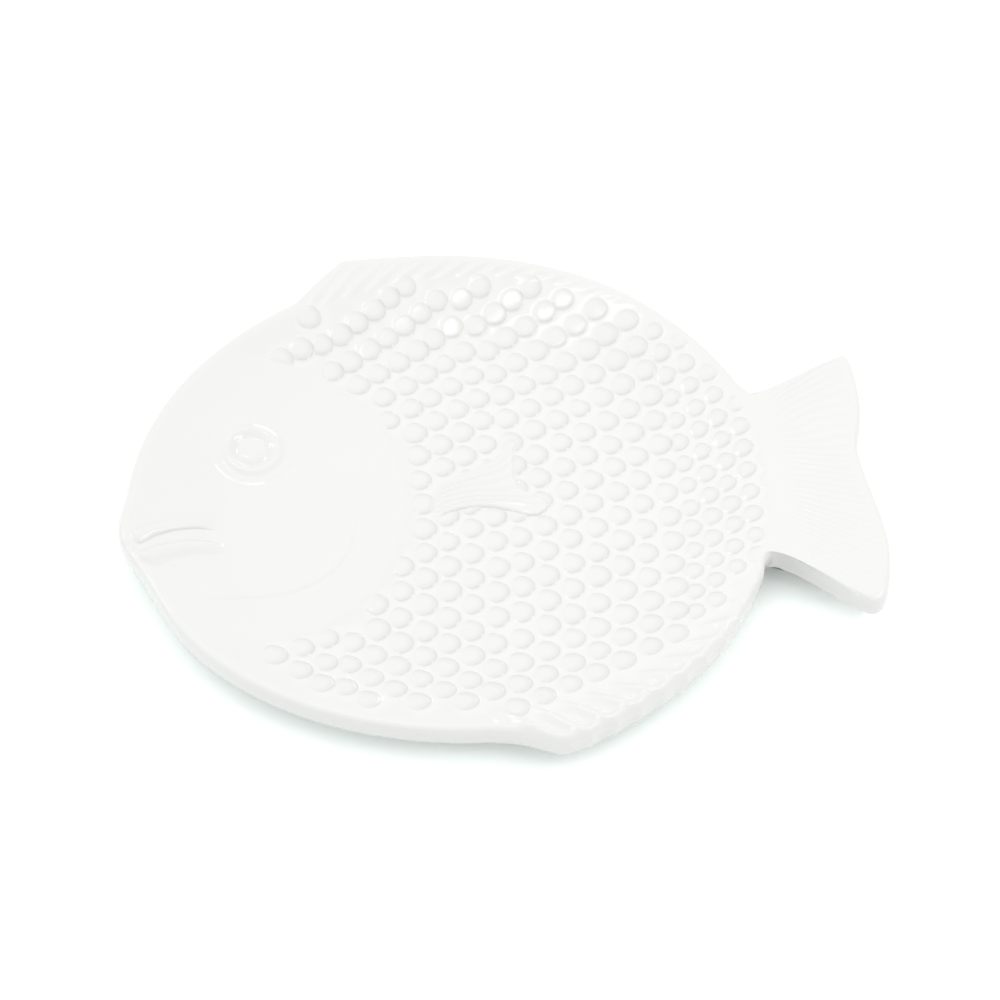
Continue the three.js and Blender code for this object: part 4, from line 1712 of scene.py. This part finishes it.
@dataclass
class EyePiece:
    """A round raised piece of the eye, with a profile of radii and heights above the face."""

    skin: PlateSkin
    name: str
    node: str
    profile: tuple[Spot, ...]
    centre: Spot = (-95.1, 33.9)
    steps: int = 6
    columns: int = 96
    sink: float = 0.9

    def ring(self, radius: float, rise: float) -> Array:
        """A ring of points that follows the face.

        Args:
            radius: The ring's radius.
            rise: Its height above the face.

        Returns:
            The points, one row each.
        """
        turn = np.linspace(0, 2 * math.pi, self.columns, endpoint=False)
        x = self.centre[0] + radius * np.cos(turn)
        y = self.centre[1] + radius * np.sin(turn)
        return np.column_stack([x, y, self.skin.base_height(x, y) + rise])

    def build(self, glaze: Material) -> Object:
        """Makes the piece, closed by a pole where its profile starts in the middle.

        Args:
            glaze: Its finish.

        Returns:
            The piece's object.
        """
        line = curve_through(list(self.profile), self.steps * (len(self.profile) - 1) + 1)
        domed = self.profile[0][0] == 0
        rings = [self.ring(*spot) for spot in (line[1:] if domed else line)]
        rings.append(self.ring(line[-1, 0], -self.sink))
        if not domed:
            rings.append(self.ring(line[0, 0], -self.sink))
        number = np.arange(len(rings) * self.columns).reshape(len(rings), -1)
        points = np.vstack(rings)
        if domed:
            poles = np.vstack([self.ring(0, line[0, 1])[0], self.ring(0, -self.sink)[0]])
            top, bottom = [np.full(self.columns, len(points) + at) for at in range(len(poles))]
            points = np.vstack([points, poles])
            faces = [quads_of(number, True), np.column_stack([top, number[0], np.roll(number[0], -1)]),
                     np.column_stack([number[-1], bottom, np.roll(number[-1], -1)])]
        else:
            faces = [quads_of(np.vstack([number, number[:1]]), True)]
        return place_piece(self.name, make_mesh(self.name, points, faces), glaze, self.node)


@dataclass
class Lip:
    """A roll along the mouth that lies on the face, with widths and rises at even shares of its path."""

    skin: PlateSkin
    name: str
    node: str
    path: tuple[Spot, ...]
    upper_width: tuple[float, ...]
    lower_width: tuple[float, ...]
    rise: tuple[float, ...]
    steep: float
    along: int = 90
    across: int = 41
    sink: float = 0.8
    settle: float = 0.05
    front_round: float = 0.10
    end_round: float = 0.22
    front_rise: float = 0.08
    end_rise: float = 0.25

    def build(self, glaze: Material) -> Object:
        """Makes the lip as a soft-edged patch over the face, closed below it.

        Args:
            glaze: Its finish.

        Returns:
            The lip's object.
        """
        line = curve_through(list(self.path), self.along)
        way = np.gradient(line, axis=0)
        way /= np.hypot(*way.T)[:, None]
        side = np.column_stack([-way[:, 1], way[:, 0]])
        share = np.linspace(0, 1, self.along)
        knots = np.linspace(0, 1, len(self.rise))
        ends = round_off(share / self.front_round) * round_off((1 - share) / self.end_round)
        upper = (np.interp(share, knots, self.upper_width) * ends)[:, None]
        lower = (np.interp(share, knots, self.lower_width) * ends)[:, None]
        rise = np.interp(share, knots, self.rise)
        rise = rise * ease(0.0, self.front_rise, share) * ease(0.0, self.end_rise, 1 - share)
        cross = np.linspace(-1, 1, self.across)
        offset = np.where(cross > 0, cross * upper, cross * lower)
        x = line[:, :1] + side[:, :1] * offset
        y = line[:, 1:] + side[:, 1:] * offset
        fall = np.cos(np.pi / 2 * cross)
        section = np.where(cross < 0, fall ** self.steep, fall ** 2)
        edge = self.skin.oval.edge_round
        base = self.skin.base_height(x, y) - edge * (1 - round_off(self.skin.oval.inset_at(x, y) / edge))
        top = base + rise[:, None] * section - self.settle
        mesh = make_mesh(self.name, *closed_patch(x, y, top, base - self.sink))
        return place_piece(self.name, mesh, glaze, self.node)


@dataclass
class SideFin:
    """The forked side fin on the floor of the well, with rays that fan out from its root.

    The rows of its patch are shares along the fin, from the root out, and the columns are shares across it,
    from below.
    """

    skin: PlateSkin
    plan: SideFinPlan
    name: str = "side_fin"
    node: str = "pectoral_fin"
    thick: float = 1.15
    thin: float = 0.55
    thin_power: float = 1.2
    edge_round: float = 1.1
    soft_above: float = 4.0
    soft_root: float = 4.5
    soft_fork: float = 2.4
    lower_lobe: Spot = (0.5, 0.2)
    settle: float = 0.1
    sink: float = 0.6
    rays: float = 7.0
    ray_rise: float = 0.6
    ray_edge: Spot = (0.3, 1.8)
    ray_end: Spot = (0.75, 1.0)
    ray_end_loss: float = 0.4
    groove_soft: float = 0.05
    along: int = 120
    across: int = 150
    crowding: float = 0.55
    side_points: int = 400

    def crowded(self, count: int) -> Array:
        """Shares from 0 to 1 that crowd towards both ends."""
        even = np.linspace(0, 1, count)
        return (1 - self.crowding) * even + self.crowding * (0.5 - 0.5 * np.cos(np.pi * even))

    def side(self, points: tuple[Spot, ...], shares: Array) -> Array:
        """Points of one side of the fin.

        Args:
            points: Points that the side passes through.
            shares: Shares of its length.

        Returns:
            The points, one row each.
        """
        line = curve_through(list(points), self.side_points)
        even = np.linspace(0, 1, self.side_points)
        return np.column_stack([np.interp(shares, even, line[:, 0]), np.interp(shares, even, line[:, 1])])

    def build(self, glaze: Material) -> Object:
        """Makes the fin between its four sides and presses its rays.

        Args:
            glaze: Its finish.

        Returns:
            The fin's object.
        """
        along, across = self.crowded(self.along)[:, None], self.crowded(self.across)[None, :]
        root, outer = [self.side(side, across[0])[None, :] for side in (self.plan.root, self.plan.outer)]
        low, high = [self.side(side, along[:, 0])[:, None] for side in (self.plan.lower, self.plan.upper)]
        a, b = across[..., None], along[..., None]
        corners = (1 - b) * ((1 - a) * root[:, :1] + a * root[:, -1:])
        corners = corners + b * ((1 - a) * outer[:, :1] + a * outer[:, -1:])
        spread = (1 - b) * root + b * outer + (1 - a) * low + a * high - corners
        breadth = np.hypot(*np.moveaxis(high - low, -1, 0))
        reach = np.hypot(*np.moveaxis(outer - root, -1, 0))
        below, above = across * breadth, (1 - across) * breadth
        from_root, from_fork = along * reach, (1 - along) * reach
        lobe = ease(*self.lower_lobe, across)
        rounded = round_off(from_fork / self.edge_round)
        fork = lobe * rounded + (1 - lobe) * ease(0.0, self.soft_fork, from_fork)
        soft = fork * ease(0.0, self.soft_above, above) * ease(0.0, self.soft_root, from_root)
        thickness = self.thin + (self.thick - self.thin) * (1 - across) ** self.thin_power
        x, y = np.moveaxis(spread, -1, 0)
        level = self.skin.base_height(x, y)
        top = level + thickness * round_off(below / self.edge_round) * soft - self.settle
        points, faces = closed_patch(x, y, top, level - self.sink)
        rise = self.ray_rise * ease(*self.ray_edge, below) * soft
        rise = rise * (1 - self.ray_end_loss * ease(*self.ray_end, along))
        place = np.broadcast_to(across * self.rays, x.shape)
        plain = np.zeros(x.size)
        mesh = make_mesh(self.name, points, faces)
        set_marks(mesh, {Mark.RIB_PLACE: np.concatenate([place.ravel(), plain]),
                         Mark.RIB_RISE: np.concatenate([rise.ravel(), plain]) * MM})
        blank = link("side fin blank", mesh)
        apply_tree(blank, ReliefTrees().ribs(), {"Groove Softness": self.groove_soft, "Glaze": glaze})
        pressed = blank.data
        bpy.data.objects.remove(blank)
        pressed.name = self.name
        return place_piece(self.name, pressed, glaze, self.node)


@dataclass
class FootRing:
    """The ring under the plate, bare of glaze, with a section of insets and heights."""

    oval: Oval
    name: str = "standing_ring"
    node: str = "foot_ring"
    columns: int = 220
    section: tuple[Spot, ...] = (
        (-1.6, 5.05), (-0.5, 4.6), (-0.05, 3.8), (0.0, 2.4), (0.1, 1.1), (0.5, 0.35), (1.3, 0.0),
        (4.7, 0.0), (5.5, 0.35), (5.9, 1.1), (6.0, 2.4), (6.05, 3.8), (6.5, 4.6), (7.6, 5.05),
    )

    def build(self, clay: Material) -> Object:
        """Makes the ring from its section.

        Args:
            clay: Its finish.

        Returns:
            The ring's object.
        """
        turn = np.linspace(0, 2 * math.pi, self.columns, endpoint=False)
        rings = []
        for inset, level in self.section:
            ring = self.oval.point(turn, self.oval.foot_inset + inset)
            rings.append(np.column_stack([ring, np.full(self.columns, level)]))
        number = np.arange(len(rings) * self.columns).reshape(len(rings), -1)
        mesh = make_mesh(self.name, np.vstack(rings), [quads_of(np.vstack([number, number[:1]]), True)])
        return place_piece(self.name, mesh, clay, self.node)


class FiredGrain:
    """The uneven grain of a fired surface: one shader group that each finish places with its own values."""

    SPREAD = (0.2, 0.8)

    def __init__(self) -> None:
        """Builds the group, which puts out the grain and a roughness that follows it."""
        self.tree = bpy.data.node_groups.new("fired grain", "ShaderNodeTree")
        kit = NodeKit(self.tree)
        names = ("Scale", "Detail", "Smoothest", "Roughest")
        given = kit.interface(Side.INPUT, {name: "Float" for name in names}).outputs
        result = kit.interface(Side.OUTPUT, {"Grain": "Float", "Roughness": "Float"}).inputs
        noise = kit.add("ShaderNodeTexNoise")
        kit.feed(noise.inputs["Vector"], kit.add("ShaderNodeTexCoord").outputs["Object"])
        kit.feed(noise.inputs["Scale"], given["Scale"])
        kit.feed(noise.inputs["Detail"], given["Detail"])
        grain = noise.outputs["Fac"]
        kit.feed(result["Grain"], grain)
        kit.feed(result["Roughness"], kit.ramp(grain, *self.SPREAD, given["Smoothest"], given["Roughest"]))

    def place(self, kit: NodeKit, scale: float, detail: float, roughness: Spot = (0.0, 1.0)) -> Node:
        """Places the group in a finish.

        Args:
            kit: The finish's kit.
            scale: Scale of the grain.
            detail: Its detail.
            roughness: Least and most roughness.

        Returns:
            The node, for its Grain and Roughness outputs.
        """
        node = kit.add("ShaderNodeGroup", node_tree=self.tree)
        for name, value in zip(("Scale", "Detail", "Smoothest", "Roughest"), (scale, detail, *roughness)):
            kit.feed(node.inputs[name], value)
        return node


@dataclass(frozen=True)
class GlazeFinish:
    """Glossy white glaze: painted highlight ahead of each scale, painted shade on its front edge, partly as
    pooled and thin glaze.
    """

    white: Colour = (0.884, 0.884, 0.868, 1.0)
    # The second colour is painted shade for the scales' front edges, the third a painted highlight for the
    # web ahead of them.
    thin: Colour = (0.69, 0.69, 0.665, 1.0)
    painted_highlight: Colour = (0.908, 0.908, 0.893, 1.0)
    roughness: float = 0.07
    uneven_gloss: Spot = (0.7, 1.4)
    cloud_scale: float = 28.0
    cloud_detail: float = 3.0
    cloud_spread: Spot = (0.3, 0.75)
    cloud_drift: Spot = (-0.08, 0.12)
    peel_scale: float = 160.0
    peel_detail: float = 2.0
    peel_strength: float = 0.1
    peel_depth: float = 0.0004

    def material(self, grain: FiredGrain) -> Material:
        """Builds the glaze's shader.

        Args:
            grain: The shared grain.

        Returns:
            The material.
        """
        made = bpy.data.materials.new("white glaze")
        made.use_nodes = True
        kit = NodeKit(made.node_tree)
        shader = made.node_tree.nodes["Principled BSDF"]
        least, most = [self.roughness * share for share in self.uneven_gloss]
        cloud = grain.place(kit, self.cloud_scale, self.cloud_detail, (least, most)).outputs
        # The mark read here is painted light: above 0 it lightens towards the painted highlight colour,
        # below 0 it darkens towards the painted shade colour.
        painted_highlight = kit.add("ShaderNodeAttribute", attribute_name=Mark.POOL.value).outputs["Fac"]
        drift = kit.ramp(cloud["Grain"], *self.cloud_spread, *self.cloud_drift)
        tint = kit.mix(kit.math("ADD", painted_highlight, drift, clamp=True), self.white, self.painted_highlight)
        painted_shading = kit.mix(kit.math("MULTIPLY", painted_highlight, -1.0, clamp=True), tint, self.thin)
        peel = grain.place(kit, self.peel_scale, self.peel_detail).outputs
        kit.feed(shader.inputs["Base Color"], painted_shading)
        kit.feed(shader.inputs["Roughness"], cloud["Roughness"])
        kit.feed(shader.inputs["Normal"], kit.bump(peel["Grain"], self.peel_strength, self.peel_depth))
        return made


@dataclass(frozen=True)
class ClayFinish:
    """Dry fired clay, off-white and finely grained."""

    pale: Colour = (0.72, 0.68, 0.60, 1.0)
    dark: Colour = (0.58, 0.53, 0.45, 1.0)
    roughness: Spot = (0.75, 0.95)
    grain_scale: float = 900.0
    grain_detail: float = 4.0
    grain_strength: float = 0.4
    grain_depth: float = 0.0003

    def material(self, grain: FiredGrain) -> Material:
        """Builds the clay's shader.

        Args:
            grain: The shared grain.

        Returns:
            The material.
        """
        made = bpy.data.materials.new("bare clay")
        made.use_nodes = True
        kit = NodeKit(made.node_tree)
        shader = made.node_tree.nodes["Principled BSDF"]
        fine = grain.place(kit, self.grain_scale, self.grain_detail, self.roughness).outputs
        kit.feed(shader.inputs["Base Color"], kit.mix(fine["Grain"], self.pale, self.dark))
        kit.feed(shader.inputs["Roughness"], fine["Roughness"])
        kit.feed(shader.inputs["Normal"], kit.bump(fine["Grain"], self.grain_strength, self.grain_depth))
        return made


@dataclass(frozen=True)
class LampBox:
    """A small lamp box that faces the plate: the way to it, its size in metres and its brightness."""

    name: str
    way: tuple[float, float, float]
    size: Spot
    brightness: float
    colour: tuple[float, float, float] = (1.0, 0.985, 0.96)
    distance: float = 1.5

    def build(self) -> None:
        """Hangs the lamp box."""
        lamp = bpy.data.lights.new(self.name, "AREA")
        lamp.shape = "RECTANGLE"
        lamp.size, lamp.size_y = self.size
        lamp.color = self.colour
        lamp.energy = self.brightness * math.pi * self.size[0] * self.size[1]
        obj = link(self.name, lamp)
        obj.location = Vector(self.way).normalized() * self.distance
        obj.rotation_euler = (-obj.location).to_track_quat("-Z", "Y").to_euler()


@dataclass
class Studio:
    """Pale floor, soft light and the camera, with lengths in metres."""

    target: tuple[float, float, float] = (0.00173, 0.00753, 0.0)
    elevation: float = 52.0
    azimuth: float = -6.0
    distance: float = 1.3
    focal_pixels: float = 3250.0
    image_pixels: float = 1000.0
    sensor: float = 36.0
    nearest: float = 0.01
    floor_half: float = 3.0
    floor_bounce: Colour = (0.9, 0.91, 0.905, 1.0)
    floor_seen: Colour = (1.3, 1.36, 1.345, 1.0)
    sky_colour: Colour = (0.993, 1.0, 0.998, 1.0)
    sky_bright_way: tuple[float, float, float] = (-0.26, 0.15, 0.954)
    sky_base: float = 0.556
    sky_glow: float = 0.471
    sky_sides: float = 0.25
    lamps: tuple[LampBox, ...] = (
        LampBox("side lamp box", (-0.6, 0.42, 0.68), (0.56, 0.16), 3.2),
        LampBox("top lamp box", (-0.1, 0.3, 0.95), (0.34, 0.12), 2.6),
        LampBox("right lamp box", (0.6, -0.18, 0.78), (1.2, 0.28), 3.0),
        LampBox("low back lamp box", (0.27, 0.9, 0.33), (0.44, 0.16), 2.2),
    )

    def build(self) -> None:
        """Sets up floor, surroundings, lamps, camera and view."""
        self.floor()
        self.surroundings()
        for lamp in self.lamps:
            lamp.build()
        self.camera()
        bpy.context.scene.view_settings.view_transform = "Standard"

    def floor(self) -> None:
        """A floor that keeps the plate's shadow and is seen as white, also in reflections."""
        half = self.floor_half
        mesh = bpy.data.meshes.new("floor")
        corners = [(-half, -half, 0), (half, -half, 0), (half, half, 0), (-half, half, 0)]
        mesh.from_pydata(corners, [], [(0, 1, 2, 3)])
        obj = link("floor", mesh)
        made = bpy.data.materials.new("floor white")
        made.use_nodes = True
        kit = NodeKit(made.node_tree)
        shader = made.node_tree.nodes["Principled BSDF"]
        ray = kit.add("ShaderNodeLightPath").outputs
        seen = kit.math("ADD", ray["Is Camera Ray"], ray["Is Glossy Ray"])
        seen = kit.math("ADD", seen, ray["Is Transmission Ray"], clamp=True)
        kit.feed(shader.inputs["Base Color"], kit.mix(seen, self.floor_bounce, self.floor_seen))
        kit.feed(shader.inputs["Roughness"], 1.0)
        kit.feed(shader.inputs["Specular IOR Level"], 0.0)
        mesh.materials.append(made)

    def surroundings(self) -> None:
        """Pale surroundings that are brighter above on the left and towards both sides."""
        world = bpy.data.worlds.new("studio")
        bpy.context.scene.world = world
        world.use_nodes = True
        kit = NodeKit(world.node_tree)
        background = world.node_tree.nodes["Background"]
        way = kit.add("ShaderNodeTexCoord").outputs["Generated"]
        facing = kit.vector("DOT_PRODUCT", way, Vector(self.sky_bright_way).normalized()).outputs["Value"]
        glow = kit.math("MULTIPLY", kit.math("MAXIMUM", facing, 0.0), self.sky_glow)
        aside = kit.parts(way)[0]
        strength = kit.math("ADD", glow, kit.product(aside, aside, self.sky_sides))
        kit.feed(background.inputs["Color"], self.sky_colour)
        kit.feed(background.inputs["Strength"], kit.math("ADD", strength, self.sky_base))

    def camera(self) -> None:
        """The camera at the picture's viewing angle."""
        lift, turn = math.radians(self.elevation), math.radians(self.azimuth)
        back = Vector((math.sin(turn) * math.cos(lift), -math.cos(turn) * math.cos(lift), math.sin(lift)))
        data = bpy.data.cameras.new("camera")
        data.sensor_width = self.sensor
        data.lens = self.sensor * self.focal_pixels / self.image_pixels
        data.clip_start = self.nearest
        obj = link("camera", data)
        obj.location = Vector(self.target) + back * self.distance
        obj.rotation_euler = (-back).to_track_quat("-Z", "Y").to_euler()
        bpy.context.scene.camera = obj


def eye(skin: PlateSkin) -> tuple[EyePiece, ...]:
    """The eye's raised ring and the boss in its middle.

    Args:
        skin: The skin that they lie on.

    Returns:
        Both pieces.
    """
    collar = (
        (6.6, 0.2), (7.3, 0.5), (8.3, 0.98), (9.6, 1.35), (10.8, 1.28), (12.0, 0.84), (13.2, 0.44),
        (14.6, 0.3), (15.8, 0.22), (16.8, 0.05), (17.8, -0.12),
    )
    boss = ((0.0, 1.4), (2.2, 1.37), (4.2, 1.22), (5.4, 0.95), (6.3, 0.55), (7.0, 0.15), (7.6, -0.1))
    return EyePiece(skin, "eye_collar", "eye_ring", collar), EyePiece(skin, "pupil_boss", "eye_pupil", boss)


def mouth(skin: PlateSkin) -> tuple[Lip, ...]:
    """The rolls above and below the mouth line.

    Args:
        skin: The skin that they lie on.

    Returns:
        Both lips.
    """
    upper = Lip(
        skin, "upper_lip_roll", "upper_lip",
        path=((-144.6, -10.8), (-140.5, -9.4), (-135.5, -7.2), (-129.5, -5.2), (-122.5, -3.8),
              (-115.0, -3.5), (-108.6, -5.4)),
        upper_width=(7.0, 7.5, 8.0, 7.5, 6.0), lower_width=(4.6, 2.2, 1.5, 1.5, 1.8),
        rise=(1.9, 1.8, 1.45, 1.05, 0.55), steep=0.5,
    )
    lower = Lip(
        skin, "lower_lip_roll", "lower_lip",
        path=((-141.5, -23.0), (-138.0, -19.6), (-132.0, -16.2), (-124.0, -14.0), (-115.0, -13.4),
              (-105.0, -15.8)),
        upper_width=(5.5, 4.6, 4.0, 3.6, 3.0), lower_width=(7.5, 7.0, 6.0, 5.2, 4.2),
        rise=(2.0, 2.0, 1.7, 1.3, 0.6), steep=1.6,
    )
    return upper, lower


def plain(box: tuple[Vector, Vector]) -> list[list[float]]:
    """A box's corners as plain lists."""
    return [[float(value) for value in corner] for corner in box]


def main() -> None:
    """Builds the plate piece by piece and reports each one."""
    logging.basicConfig(level=logging.INFO, format="%(name)s: %(message)s")
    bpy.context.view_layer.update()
    _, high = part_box("plate_body")
    oval = Oval((high.x / MM - FRAME_TAIL_REACH, high.y / MM - FRAME_BACK_REACH))
    grain = FiredGrain()
    glaze = GlazeFinish().material(grain)
    clay = ClayFinish().material(grain)
    side_fin = SideFinPlan()
    skin = PlateSkin(oval, FaceRelief(), BACK_FIN, BELLY_FIN, TailFin(), ScaleField(), side_fin)
    skin.build()
    skin.cut(skin.press(glaze), glaze)
    for piece in (*eye(skin), *mouth(skin), SideFin(skin, side_fin)):
        piece.build(glaze)
    FootRing(oval).build(clay)
    Studio().build()
    bpy.context.view_layer.update()


if __name__ == "__main__":
    main()
